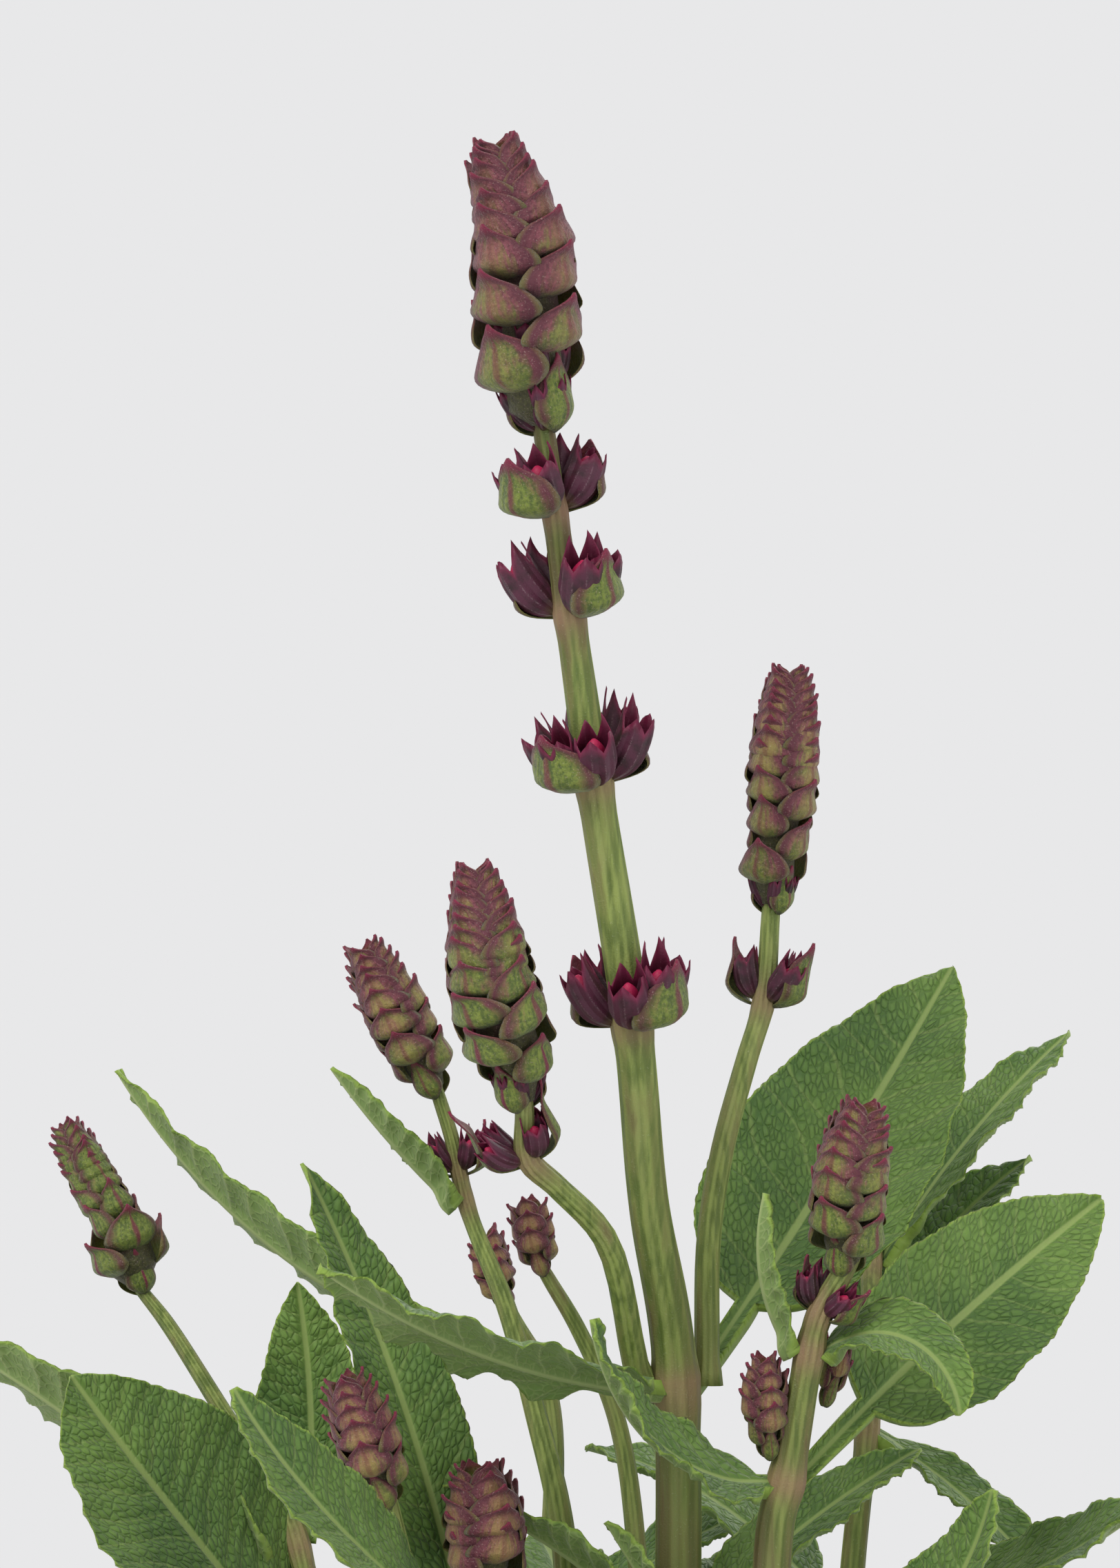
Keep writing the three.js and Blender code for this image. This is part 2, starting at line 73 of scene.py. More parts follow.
STEM_ROWS: dict[str, list[tuple[float, float, float, float]]] = {
    "main": [
        (1, 0, 0, 2.6), (2, -2, 31, 2.4), (3, -4, 61, 2.1), (3.3, -6, 105, 1.9),
        (1.1, -8.5, 119, 1.7), (-0.2, -11, 133, 1.65), (-3.2, -14, 152.2, 1.5),
        (-5.2, -16, 166, 1.25), (-6.4, -17, 174.3, 1), (-7.2, -17.8, 180.3, 0.9),
    ],
    "left": [
        (-2.3, -12, 116.2, 1), (-6.2, -14.5, 120.8, 0.9), (-8.6, -15.7, 123.3, 0.85),
        (-8.8, -17, 127.2, 0.8),
    ],
    "right": [
        (6.1, -3, 115, 1.05), (7.2, -1.6, 122, 1), (9.2, 0, 129.2, 0.95),
        (10.7, 1, 134.2, 0.9), (11.3, 2, 141.4, 0.8),
    ],
    "back_left": [
        (-8, 9, 0, 1.6), (-6, 6, 31, 1.4), (-5.2, 2, 61, 1.2), (-5.7, 0, 89.8, 1.1),
        (-8.1, 2, 100.4, 0.95), (-10.4, 4, 108.4, 0.85), (-13.6, 6, 116.3, 0.7),
        (-15, 6, 122.4, 0.65), (-16, 6, 125.6, 0.6),
    ],
    "far_left": [
        (-15, 15, 0, 1.6), (-19, 20, 31, 1.4), (-25, 25, 61, 1.2), (-29.7, 30, 86.3, 1),
        (-35.3, 34, 94.2, 0.8), (-40.9, 38, 102.1, 0.7), (-43, 39, 104.6, 0.6),
    ],
    "front_right": [
        (9, -7, 0, 2.1), (10, -9, 31, 1.9), (10.5, -11, 61, 1.7), (11.2, -12, 93, 1.6),
        (12.1, -12.2, 97, 1.45), (13.8, -13.5, 107, 1.15), (14.5, -14, 110.2, 1),
        (16.4, -14, 113.8, 0.9),
    ],
    "front_left": [
        (-10, -7, 0, 1.9), (-11, -9, 31, 1.7), (-12, -11, 61, 1.5), (-12.7, -12, 85, 1.3),
        (-12.2, -12, 87.3, 1),
    ],
    "front_left_branch": [(-17.2, -15.2, 86, 0.8), (-19.4, -15.8, 95.4, 0.7)],
    "back_right": [
        (13, 11, 0, 1.7), (16, 14, 37, 1.4), (18.9, 16, 84.4, 1.1), (20.3, 18, 97.2, 1),
        (21, 26, 109, 0.85), (22, 32, 114.5, 0.7),
    ],
    "back_centre": [
        (3, 16, 0, 1.4), (2, 14, 37, 1.2), (0.6, 12, 85, 0.9), (-1.2, 13, 97.6, 0.8),
        (-4.4, 13, 105.2, 0.7), (-7, 12.2, 109.8, 0.6),
    ],
    "rear": [
        (-6, 22, 0, 1.5), (-7, 26, 37, 1.3), (-7, 29, 77, 1), (-7, 30, 97, 0.9),
        (-10.5, 30, 104.5, 0.7),
    ],
}

# A branch: its parent, the height and heading at which it leaves it, and its first radius.
BRANCHES: dict[str, tuple[str, float, float, float]] = {
    "left": ("main", 105.5, -154, 1.1),
    "right": ("main", 105.5, 40, 1.1),
    "front_left_branch": ("front_left", 74, -140, 0.9),
}

# How brown a stem is: 0 is green.
BLUSHES: dict[str, float] = {"main": 0.62, "front_right": 0.7, "back_right": 0.6}
PLAIN_BLUSH = 0.42

# ---- Closed flower spikes: x, y, height above the soil, radius ---------------------------

SPIKE_ROWS: dict[str, list[tuple[float, float, float, float]]] = {
    "main": [
        (-7.4, -18, 181.2, 1.8), (-7.7, -18.1, 182.6, 4.2), (-8.2, -18.2, 185.6, 4.4),
        (-8.6, -18.6, 190, 4.2), (-9.1, -19, 195.3, 4), (-10.1, -19.5, 199.2, 2.9),
        (-11.1, -20, 203, 1.4),
    ],
    "left": [
        (-9, -17.2, 128, 1.8), (-9.3, -17.5, 130, 2.9), (-9.9, -18, 132.6, 3.7),
        (-10.9, -18.5, 135.5, 3.7), (-11.7, -19, 139.7, 3.2), (-12.3, -19, 143.9, 2.2),
        (-12.7, -19, 146.6, 1),
    ],
    "right": [
        (11.4, 2, 142.1, 1.6), (11.5, 2, 144, 2.9), (11.8, 2, 147, 2.4), (12, 2, 150, 2.9),
        (12.4, 2, 155, 2.9), (12.7, 2, 159, 2.1), (12.8, 2, 161.3, 1),
    ],
    "back_left": [
        (-16.4, 6, 126.5, 1.4), (-17.3, 6, 128.4, 2.6), (-19.1, 6, 132, 2.8),
        (-21, 6, 135.7, 2.2), (-22.4, 6, 138.5, 1.1),
    ],
    "far_left": [
        (-43.4, 39.2, 105.3, 1.4), (-43.9, 39.3, 106.8, 3.6), (-44.6, 39.6, 109, 3.4),
        (-45.4, 40, 110.8, 2.1), (-47.2, 41, 113.7, 2.2), (-49, 41.5, 117, 1.9),
        (-50.2, 42, 119.4, 0.9),
    ],
    "front_right": [
        (16.6, -14, 114.5, 1.5), (16.7, -14.3, 116.2, 2.9), (16.8, -14.8, 119.5, 3.1),
        (17.2, -15, 123, 2.9), (17.8, -15, 125.8, 2), (18.1, -15, 127.4, 0.9),
    ],
    "front_left": [
        (-12.1, -12, 88.4, 1.6), (-12, -12, 90, 3.1), (-12.1, -12, 93.5, 3.3),
        (-12.4, -12, 96.3, 2.2), (-12.5, -12, 98, 1),
    ],
    "front_left_branch": [
        (-19.7, -15.9, 96.2, 1.4), (-20.4, -16, 98.2, 2.5), (-21.4, -16, 101.2, 2.6),
        (-22.4, -16, 104, 1.9), (-23, -16, 105.8, 0.9),
    ],
    "back_right": [
        (22.2, 32.6, 115.4, 0.9), (22.4, 33.2, 117, 1.8), (22.6, 34, 120, 1.8),
        (22.8, 34.6, 122.4, 0.8),
    ],
    "back_centre": [
        (-7.5, 12, 110.8, 0.9), (-7.9, 12, 112.2, 1.8), (-8.4, 12, 114.6, 1.7),
        (-8.7, 12, 116.4, 0.7),
    ],
    "rear": [
        (-10.9, 30, 105.4, 0.9), (-11.5, 30, 107, 1.8), (-12.2, 30, 109.6, 1.6),
        (-12.7, 30, 111.4, 0.7),
    ],
}


# ---- Numbers as whole arrays ---------------------------------------------------------------


def unit(vectors: Array) -> Array:
    """Vectors at length one, along the last axis."""
    return vectors / np.maximum(np.linalg.norm(vectors, axis=-1, keepdims=True), 1e-12)


def level(heading: Union[float, Array]) -> Array:
    """A heading in degrees from +X as a level direction."""
    turn = np.radians(np.asarray(heading, float))
    return np.stack([np.cos(turn), np.sin(turn), np.zeros_like(turn)], axis=-1)


def ease(value: Array, low: float, high: float) -> Array:
    """A smooth rise from 0 at low to 1 at high: 3t squared less 2t cubed."""
    part = np.clip((value - low) / (high - low), 0, 1)
    return part * part * (3 - 2 * part)


def bell(value: Array, width: float) -> Array:
    """A bell of height 1 around zero: e to the minus of value over width, squared."""
    return np.exp(-((value / width) ** 2))


def waves(across: Array, forward: Array, span: float, seed: int, count: int = 9) -> Array:
    """An uneven surface from -1 to 1: a sum of plane waves in drawn directions.

    Args:
        across: Places on one axis.
        forward: Places on the other.
        span: Mean length of a wave.
        seed: Which draw.
        count: How many waves.

    Returns:
        The height at each place.
    """
    draw = np.random.default_rng(seed)
    total = np.zeros(np.broadcast(across, forward).shape)
    for heading, phase, stretch in draw.random((count, 3)):
        pace = TURN / (span * (0.6 + 0.9 * stretch))
        swing = across * math.cos(TURN * heading) + forward * math.sin(TURN * heading)
        total += np.sin(swing * pace + TURN * phase)
    return total / math.sqrt(2 * count)


# ---- Closed shells -------------------------------------------------------------------------


@dataclass
class Shell:
    """A closed surface with its own traits, one row for each point."""

    points: Array
    quads: Array
    fans: Array
    traits: dict[str, Array]

    def outward(self) -> "Shell":
        """Turns the faces outwards, if the volume that they enclose has a minus sign.

        Returns:
            The shell, turned or as it was.
        """
        halves = [self.quads[:, [0, 1, 2]], self.quads[:, [0, 2, 3]], self.fans]
        a, b, c = (self.points[np.concatenate(halves)[:, corner]] for corner in range(3))
        if np.einsum("ij,ij->", a, np.cross(b, c)) >= 0:
            return self
        return Shell(self.points, self.quads[:, ::-1], self.fans[:, ::-1], self.traits)


def tube(rings: Array, **traits: Array) -> Shell:
    """A closed shell through rings of points, with a fan of triangles at each end.

    Args:
        rings: Points as ring, place on the ring, axis.
        traits: Named values as ring, place on the ring, three numbers.

    Returns:
        The shell.
    """
    count, around, _ = rings.shape
    index = np.arange(count * around).reshape(count, around)
    beside = np.roll(index, -1, axis=1)
    quads = np.stack([index[:-1], beside[:-1], beside[1:], index[1:]], axis=-1).reshape(-1, 4)
    first = np.full(around, count * around)
    fans = np.concatenate([
        np.stack([beside[0], index[0], first], axis=-1),
        np.stack([index[-1], beside[-1], first + 1], axis=-1),
    ])

    def with_ends(grid: Array) -> Array:
        """The grid as rows, with the mean of its first and last ring after them."""
        ends = np.stack([grid[0].mean(0), grid[-1].mean(0)])
        return np.concatenate([grid.reshape(-1, grid.shape[-1]), ends])

    named = {name: with_ends(grid) for name, grid in traits.items()}
    return Shell(with_ends(rings), quads, fans, named).outward()


def joined(shells: Sequence[Shell]) -> Shell:
    """Several shells as one, each still closed by itself.

    Args:
        shells: Shells that have the same traits.

    Returns:
        All of their points and faces, in their order.
    """
    starts = np.cumsum([0] + [len(shell.points) for shell in shells[:-1]])
    return Shell(
        np.concatenate([shell.points for shell in shells]),
        np.concatenate([shell.quads + start for shell, start in zip(shells, starts)]),
        np.concatenate([shell.fans + start for shell, start in zip(shells, starts)]),
        {
            name: np.concatenate([shell.traits[name] for shell in shells])
            for name in shells[0].traits
        },
    )


def as_piece(name: str, shell: Shell, finish: bpy.types.Material) -> bpy.types.Object:
    """A shell as a smooth mesh object in metres, with its traits as point attributes.

    Args:
        name: The object's name, and its mesh's.
        shell: The shell, in millimetres.
        finish: The one material on it.

    Returns:
        The object, in the scene.
    """
    mesh = bpy.data.meshes.new(name)
    mesh.from_pydata((shell.points * MM).tolist(), [], shell.quads.tolist() + shell.fans.tolist())
    mesh.polygons.foreach_set("use_smooth", np.ones(len(mesh.polygons), bool))
    for trait, rows in shell.traits.items():
        attribute = mesh.attributes.new(trait, "FLOAT_VECTOR", "POINT")
        attribute.data.foreach_set("vector", rows.astype(np.float32).ravel())
    mesh.materials.append(finish)
    mesh.update()
    piece = bpy.data.objects.new(name, mesh)
    bpy.context.scene.collection.objects.link(piece)
    return piece


class Slot(Enum):
    """Names for material slots, which no piece in this script is given."""

    CLAY = "clay"
    SOIL = "soil"
    STEM = "stem"
    LEAF = "leaf"
    BRACT = "spike_bract"
    CALYX = "calyx"


def settle(piece: bpy.types.Object, nodes: Iterable[str] = ()) -> None:
    """Puts a finished piece on the plant's one body, in the place of its nodes.

    Args:
        piece: The finished piece.
        nodes: Frame nodes that it stands for.
    """
    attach(piece, "root")
    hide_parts(*nodes)
    LOG.info("%s: %d faces", piece.name, len(piece.data.polygons))


# ---- Shader writing ------------------------------------------------------------------------


def shade(code: str) -> tuple[float, float, float, float]:
    """A screen colour as the linear colour that light works with.

    Args:
        code: The screen colour in hexadecimal.

    Returns:
        Red, green, blue and a full alpha.
    """
    parts = [int(code[at : at + 2], 16) / 255 for at in (1, 3, 5)]
    linear = [p / 12.92 if p <= 0.04045 else ((p + 0.055) / 1.055) ** 2.4 for p in parts]
    return (linear[0], linear[1], linear[2], 1.0)


class Signal:
    """One socket of a shader, with arithmetic written as Python expressions."""

    def __init__(self, dress: "Dress", socket: bpy.types.NodeSocket) -> None:
        """Keeps the socket and the dress that it belongs to.

        Args:
            dress: The material being made.
            socket: The output that the signal reads.
        """
        self.dress = dress
        self.socket = socket

    def __add__(self, other: "Amount") -> "Signal":
        """The sum."""
        return self.dress.maths("ADD", self, other)

    __radd__ = __add__

    def __sub__(self, other: "Amount") -> "Signal":
        """The difference."""
        return self.dress.maths("SUBTRACT", self, other)

    def __rsub__(self, other: "Amount") -> "Signal":
        """The difference, from a number."""
        return self.dress.maths("SUBTRACT", other, self)

    def __mul__(self, other: "Amount") -> "Signal":
        """The product."""
        return self.dress.maths("MULTIPLY", self, other)

    __rmul__ = __mul__

    def __abs__(self) -> "Signal":
        """The size without its sign."""
        return self.dress.maths("ABSOLUTE", self)

    def rise(self, low: float, high: float) -> "Signal":
        """A smooth step.

        Args:
            low: Where it is 0.
            high: Where it is 1, which may be the smaller of the two.

        Returns:
            The step.
        """
        settings = {"interpolation_type": "SMOOTHSTEP", "clamp": True}
        if low < high:
            return self.dress.node("ShaderNodeMapRange", settings, {0: self, 1: low, 2: high})
        return 1 - self.rise(high, low)

    def most(self, other: "Amount") -> "Signal":
        """The larger of the two."""
        return self.dress.maths("MAXIMUM", self, other)


Amount = Union[Signal, float]
Colour = Union[Signal, tuple[float, float, float, float]]


class Dress:
    """A material being made: each method adds nodes and returns a signal."""

    def __init__(self, name: str) -> None:
        """Starts an empty material of that name."""
        self.material = bpy.data.materials.new(name)
        self.material.use_nodes = True
        self.tree = self.material.node_tree
        self.tree.nodes.clear()

    def node(
        self,
        kind: str,
        settings: Mapping[str, Any] | None = None,
        inputs: Mapping[Any, Any] | None = None,
        output: Union[int, str] = 0,
    ) -> Signal:
        """Adds one node.

        Args:
            kind: The node's type.
            settings: Its properties, set before its sockets.
            inputs: Values or signals for its sockets, by name or number.
            output: The socket that the signal reads.

        Returns:
            The signal at its output.
        """
        made = self.tree.nodes.new(kind)
        for name, value in (settings or {}).items():
            setattr(made, name, value)
        for name, value in (inputs or {}).items():
            if isinstance(value, Signal):
                self.tree.links.new(value.socket, made.inputs[name])
            else:
                made.inputs[name].default_value = value
        return Signal(self, made.outputs[output])

    def maths(self, operation: str, *values: Amount) -> Signal:
        """One step of arithmetic on numbers."""
        return self.node("ShaderNodeMath", {"operation": operation}, dict(enumerate(values)))

    def mix(self, factor: Amount, first: Colour, second: Colour, way: str = "MIX") -> Signal:
        """The first colour where the factor is 0 and the second where it is 1."""
        settings = {"data_type": "RGBA", "blend_type": way, "clamp_factor": True}
        return self.node("ShaderNodeMix", settings, {0: factor, 6: first, 7: second}, 2)

    def place(self) -> Signal:
        """The place in the frame, in metres."""
        return self.node("ShaderNodeTexCoord", output="Object")

    def parts(self, vector: Signal) -> tuple[Signal, Signal, Signal]:
        """The three numbers of a vector."""
        split = self.node("ShaderNodeSeparateXYZ", inputs={0: vector}).socket.node
        return tuple(Signal(self, split.outputs[axis]) for axis in range(3))

    def vector(self, x: Amount, y: Amount, z: Amount) -> Signal:
        """Three numbers as one vector."""
        return self.node("ShaderNodeCombineXYZ", inputs={0: x, 1: y, 2: z})

    def stretched(self, scale: tuple[float, float, float]) -> Signal:
        """The place in the frame, drawn out by a scale for each axis."""
        return self.node("ShaderNodeMapping", inputs={"Vector": self.place(), "Scale": scale})

    def trait(self, name: str) -> tuple[Signal, Signal, Signal]:
        """The three numbers of one of the mesh's own traits."""
        settings = {"attribute_name": name, "attribute_type": "GEOMETRY"}
        return self.parts(self.node("ShaderNodeAttribute", settings, output="Vector"))

    def noise(self, scale: float, detail: float = 3.0, vector: Signal | None = None) -> Signal:
        """Cloudy noise from 0 to 1; scale is in clouds per metre on the frame's places."""
        inputs = {"Vector": vector or self.place(), "Scale": scale, "Detail": detail}
        return self.node("ShaderNodeTexNoise", inputs=inputs)

    def cells(self, measure: str, scale: float, vector: Signal) -> Signal:
        """Distance in a field of irregular cells: F1 from their middles, or to their walls."""
        inputs = {"Vector": vector, "Scale": scale}
        return self.node("ShaderNodeTexVoronoi", {"feature": measure}, inputs)

    def bump(self, height: Signal, depth: float, strength: float = 1.0) -> Signal:
        """A bumped normal: the height times the depth, in metres."""
        inputs = {"Height": height, "Distance": depth, "Strength": strength}
        return self.node("ShaderNodeBump", inputs=inputs)

    def wear(self, **sockets: Any) -> bpy.types.Material:
        """Ends the material in a Principled shader.

        Args:
            sockets: Its sockets' values or signals, with _ for a space in their names.

        Returns:
            The material.
        """
        inputs = {name.replace("_", " "): value for name, value in sockets.items()}
        surface = self.node("ShaderNodeBsdfPrincipled", inputs=inputs)
        self.node_output(surface)
        return self.material

    def node_output(self, surface: Signal) -> None:
        """Sends a shader to the material's output."""
        out = self.tree.nodes.new("ShaderNodeOutputMaterial")
        self.tree.links.new(surface.socket, out.inputs["Surface"])


# ---- Finishes --------------------------------------------------------------------------------


VEIN_LEAN = 0.7  # how far a side vein runs forward for each step outward


@dataclass(frozen=True)
class LeafFinish:
    """A wrinkled green blade with paler veins, a pale underside, a thin yellow edge, painted shade
    in its wrinkles' valleys and a painted highlight on their domes.
    """

    upper: str = "#4B6C2E"
    # lighter green: random tone, and the painted highlight on the raised cells
    bright: str = "#6C8B3E"
    # painted shade: dark green put in the valleys between the raised cells of the upper side
    valley_shade: str = "#2C4A1C"
    under: str = "#7B9353"
    vein: str = "#93A65F"
    under_vein: str = "#A9B77C"
    margin: str = "#93AE45"
    down: str = "#AFC08A"
    wrinkles: float = 1.35  # cells of the net for each millimetre
    roughness: float = 0.52

    def made(self) -> bpy.types.Material:
        """Builds the material.

        Returns:
            The material.
        """
        d = Dress("sage_leaf")
        run, across, half = d.trait("blade")
        under, seed, course = d.trait("skin")
        out = abs(across)
        spot = d.vector(run - out * VEIN_LEAN, across * 1.15, seed * 7.0)
        net = d.cells("DISTANCE_TO_EDGE", self.wrinkles, spot)
        swell = d.cells("F1", self.wrinkles, spot)
        dome = (net.rise(0.0, 0.17) * 0.6 + swell.rise(0.75, 0.0) * 0.7) * out.rise(0.1, 0.7)
        side_vein = abs(d.maths("FRACT", course + 0.5) - 0.5).rise(0.06, 0.015)
        midrib = (out - half * 0.02).rise(0.26, 0.08)
        web = net.rise(0.1, 0.0)
        cloud = d.noise(120.0, 4.0)
        fine = d.noise(2200.0, 3.0)
        face = d.mix(cloud.rise(0.35, 0.7), shade(self.upper), shade(self.bright))
        # painted highlight: the raised domes of the cells are lightened
        face = d.mix(dome * 0.3, face, shade(self.bright))
        # painted shade in the valleys of the net on the upper side
        face = d.mix(web * 0.28, face, shade(self.valley_shade))
        face = d.mix(midrib.most(side_vein * 0.4) * 0.75, face, shade(self.vein))
        veins = midrib.most(side_vein * 0.7).most(web * 0.4)
        back = d.mix(veins * 0.8, shade(self.under), shade(self.under_vein))
        colour = d.mix(under, face, back)
        edge = (half - out).rise(0.26, 0.02)
        colour = d.mix(edge * 0.7, colour, shade(self.margin))
        colour = d.mix(fine.rise(0.6, 0.8) * 0.1, colour, shade(self.down))
        height = fine * 0.12 + dome * (1 - under * 1.5)
        return d.wear(
            Base_Color=colour, Roughness=self.roughness + fine * 0.15,
            Normal=d.bump(height, 0.00016), Specular_IOR_Level=0.4, Sheen_Weight=0.1,
            Subsurface_Weight=0.1, Subsurface_Radius=(0.5, 1.0, 0.2), Subsurface_Scale=0.0008,
        )


@dataclass(frozen=True)
class StemFinish:
    """A square green stem with fine streaks, brown-purple corners and pink nodes."""

    green: str = "#97A65A"
    pale: str = "#B2B873"
    deep: str = "#66773A"
    blush: str = "#5F4436"
    node: str = "#A27C66"
    hairs: str = "#C9CDA8"

    def made(self) -> bpy.types.Material:
        """Builds the material.

        Returns:
            The material.
        """
        d = Dress("sage_stem")
        corner, ridge, joint = d.trait("rind")
        tinge, _, _ = d.trait("skin")
        streak = d.noise(1.0, 4.0, d.stretched((1700.0, 1700.0, 110.0)))
        broad = d.noise(1.0, 3.0, d.stretched((420.0, 420.0, 60.0)))
        groove = (streak + ridge * 0.09).rise(0.32, 0.68)
        colour = d.mix(groove, shade(self.deep), shade(self.green))
        colour = d.mix(broad.rise(0.5, 0.75) * 0.5, colour, shade(self.pale))
        stain = tinge + (broad - 0.5) * 1.1 + corner * 0.16 + (streak - 0.5) * 1.1
        colour = d.mix(stain.rise(0.15, 1.0) * 0.85, colour, shade(self.blush))
        colour = d.mix(joint * 0.6, colour, shade(self.node))
        hair = d.noise(6500.0, 2.0)
        colour = d.mix(hair.rise(0.62, 0.78) * 0.25, colour, shade(self.hairs))
        height = ridge * 0.5 + hair * 0.5 + streak * 0.6
        return d.wear(
            Base_Color=colour, Roughness=0.5 + streak * 0.15,
            Normal=d.bump(height, 0.00012, 0.8), Specular_IOR_Level=0.35,
            Subsurface_Weight=0.08, Subsurface_Radius=(0.8, 1.0, 0.4), Subsurface_Scale=0.0008,
        )


@dataclass(frozen=True)
class BractFinish:
    """A scale, green low on a spike and dusky maroon high on it, with dark edges, an ochre centre
    that is partly a painted highlight, and painted shade at its foot.
    """

    green: str = "#7C8A38"
    moss: str = "#4A5C22"
    dusk: str = "#874852"
    plum: str = "#55212F"
    tip: str = "#86143F"
    # ochre centre of each scale: partly its own colour, partly a painted highlight where the scale
    # bulges out
    heart_and_highlight: str = "#B0935A"
    stripe: str = "#6E2038"
    # painted shade at the foot of each scale and on the core between scales
    gap: str = "#2A1216"
    inside: str = "#6E7A2C"
    inner_tip: str = "#7A2438"
    hairs: str = "#BFA79C"

    def made(self) -> bpy.types.Material:
        """Builds the material.

        Returns:
            The material.
        """
        d = Dress("sage_bract")
        along, across, age = d.trait("scale")
        under, tone, mellow = d.trait("skin")
        out = abs(across)
        streak = d.noise(1.0, 4.0, d.vector(across * 11.0, along * 2.2, tone * 40.0))
        cloud = d.noise(600.0, 4.0)
        speck = d.noise(3200.0, 3.0)
        hair = d.noise(8000.0, 2.0)
        grain = streak * 0.6 + speck * 0.8 - 0.2
        greens = d.mix(grain.rise(0.3, 0.7), shade(self.moss), shade(self.green))
        dusks = d.mix(grain.rise(0.3, 0.75), shade(self.plum), shade(self.dusk))
        spread = out * out * 0.7 + along * 0.35 + age + (cloud - 0.5) * 1.2 + (streak - 0.5) * 0.8
        colour = d.mix((spread + tone * 0.2).rise(0.5, 1.1), greens, dusks)
        # ochre centre of the scale, partly a painted highlight
        middle = (out + (streak - 0.5)).rise(0.6, 0.1) * along.rise(0.97, 0.5) * age.rise(0.1, 0.6)
        colour = d.mix(middle * (mellow * 0.35 + 0.28), colour, shade(self.heart_and_highlight))
        stripe = (out + (cloud - 0.5) * 0.15).rise(0.12, 0.03) * along.rise(0.05, 0.3)
        colour = d.mix(stripe * (1 - age * 0.8) * 0.8, colour, shade(self.stripe))
        rim = out.most(along.rise(0.5, 1.0) * 0.9)
        edge = (rim + (speck - 0.5) * 0.35).rise(0.52, 0.86) * along.rise(0.1, 0.3)
        colour = d.mix(edge * 0.85, colour, shade(self.plum))
        lip = (out.most(along) + (speck - 0.5) * 0.08).rise(0.93, 0.99)
        colour = d.mix(lip * 0.8, colour, shade(self.tip))
        colour = d.mix(along.rise(0.82, 0.97) * 0.8, colour, shade(self.tip))
        # painted shade: the foot of each scale, tucked under the one below, is darkened
        colour = d.mix(along.rise(0.2, 0.02) * 0.75, colour, shade(self.gap))
        inner = d.mix(along.rise(0.4, 0.9), shade(self.inside), shade(self.inner_tip))
        colour = d.mix(under * 0.85, colour, inner)
        colour = d.mix(hair.rise(0.6, 0.74) * 0.4, colour, shade(self.hairs))
        height = hair * 0.5 + streak * 0.8 + speck * 1.1
        return d.wear(
            Base_Color=colour, Roughness=0.48 + hair * 0.2,
            Normal=d.bump(height, 0.00014, 0.9), Specular_IOR_Level=0.4, Sheen_Weight=0.15,
            Subsurface_Weight=0.06, Subsurface_Radius=(1.0, 0.5, 0.3), Subsurface_Scale=0.0005,
        )


@dataclass(frozen=True)
class CalyxFinish:
    """A dark, ribbed calyx with crimson teeth, around a bright pink bud."""

    dark: str = "#30191F"
    wine: str = "#55243A"
    rib: str = "#7C6068"
    foot: str = "#666330"
    tooth: str = "#7C1240"
    lining: str = "#6E1238"
    petal: str = "#B0124A"
    petal_foot: str = "#5A0E30"

    def made(self) -> bpy.types.Material:
        """Builds the material.

        Returns:
            The material.
        """
        d = Dress("sage_calyx")
        along, rib, petal = d.trait("cup")
        under, tone, _ = d.trait("skin")
        cloud = d.noise(900.0, 4.0)
        hair = d.noise(8000.0, 2.0)
        colour = d.mix((cloud + tone * 0.25).rise(0.4, 0.8), shade(self.dark), shade(self.wine))
        line = rib.rise(0.55, 0.98) * hair.rise(0.45, 0.6) * along.rise(0.95, 0.7)
        colour = d.mix(line * 0.75, colour, shade(self.rib))
        colour = d.mix((along + cloud * 0.3).rise(0.42, 0.1) * 0.8, colour, shade(self.foot))
        colour = d.mix(along.rise(0.84, 1.0) * 0.75, colour, shade(self.tooth))
        colour = d.mix(under * 0.5, colour, shade(self.lining))
        pink = d.mix(along.rise(0.3, 0.95), shade(self.petal_foot), shade(self.petal))
        colour = d.mix(petal, colour, pink)
        height = rib * 0.8 + hair * 0.4
        return d.wear(
            Base_Color=colour, Roughness=0.42 + hair * 0.25,
            Normal=d.bump(height, 0.0001, 0.8), Specular_IOR_Level=0.45,
        )


@dataclass(frozen=True)
class ClayFinish:
    """Fired clay with a chalky bloom, faint turning marks and a damp foot."""

    clay: str = "#B4694A"
    pale: str = "#CB8C6C"
    dark: str = "#8F4A33"
    bloom: str = "#D9C6B4"
    grog: str = "#7A3F2C"
    damp_height: float = 0.03  # metres above the foot

    def made(self) -> bpy.types.Material:
        """Builds the material.

        Returns:
            The material.
        """
        d = Dress("fired_clay")
        _, _, up = d.parts(d.place())
        large = d.noise(14.0, 5.0)
        middle = d.noise(95.0, 6.0)
        grit = d.noise(1500.0, 2.0)
        turning = d.noise(1.0, 2.0, d.stretched((6.0, 6.0, 420.0)))
        colour = d.mix(large.rise(0.35, 0.68), shade(self.clay), shade(self.pale))
        colour = d.mix(up.rise(self.damp_height, 0.0) * 0.45, colour, shade(self.dark))
        colour = d.mix(turning.rise(0.5, 0.75) * 0.18, colour, shade(self.dark))
        chalk = (middle + up.rise(0.07, 0.11) * 0.1 + (large - 0.5) * 0.6).rise(0.5, 0.85)
        colour = d.mix(chalk * 0.3, colour, shade(self.bloom))
        colour = d.mix(grit.rise(0.62, 0.76) * 0.3, colour, shade(self.grog))
        height = grit * 0.5 + turning * 0.5 + middle * 0.6
        return d.wear(
            Base_Color=colour, Roughness=0.78 + chalk * 0.15,
            Normal=d.bump(height, 0.00035, 0.6),
        )


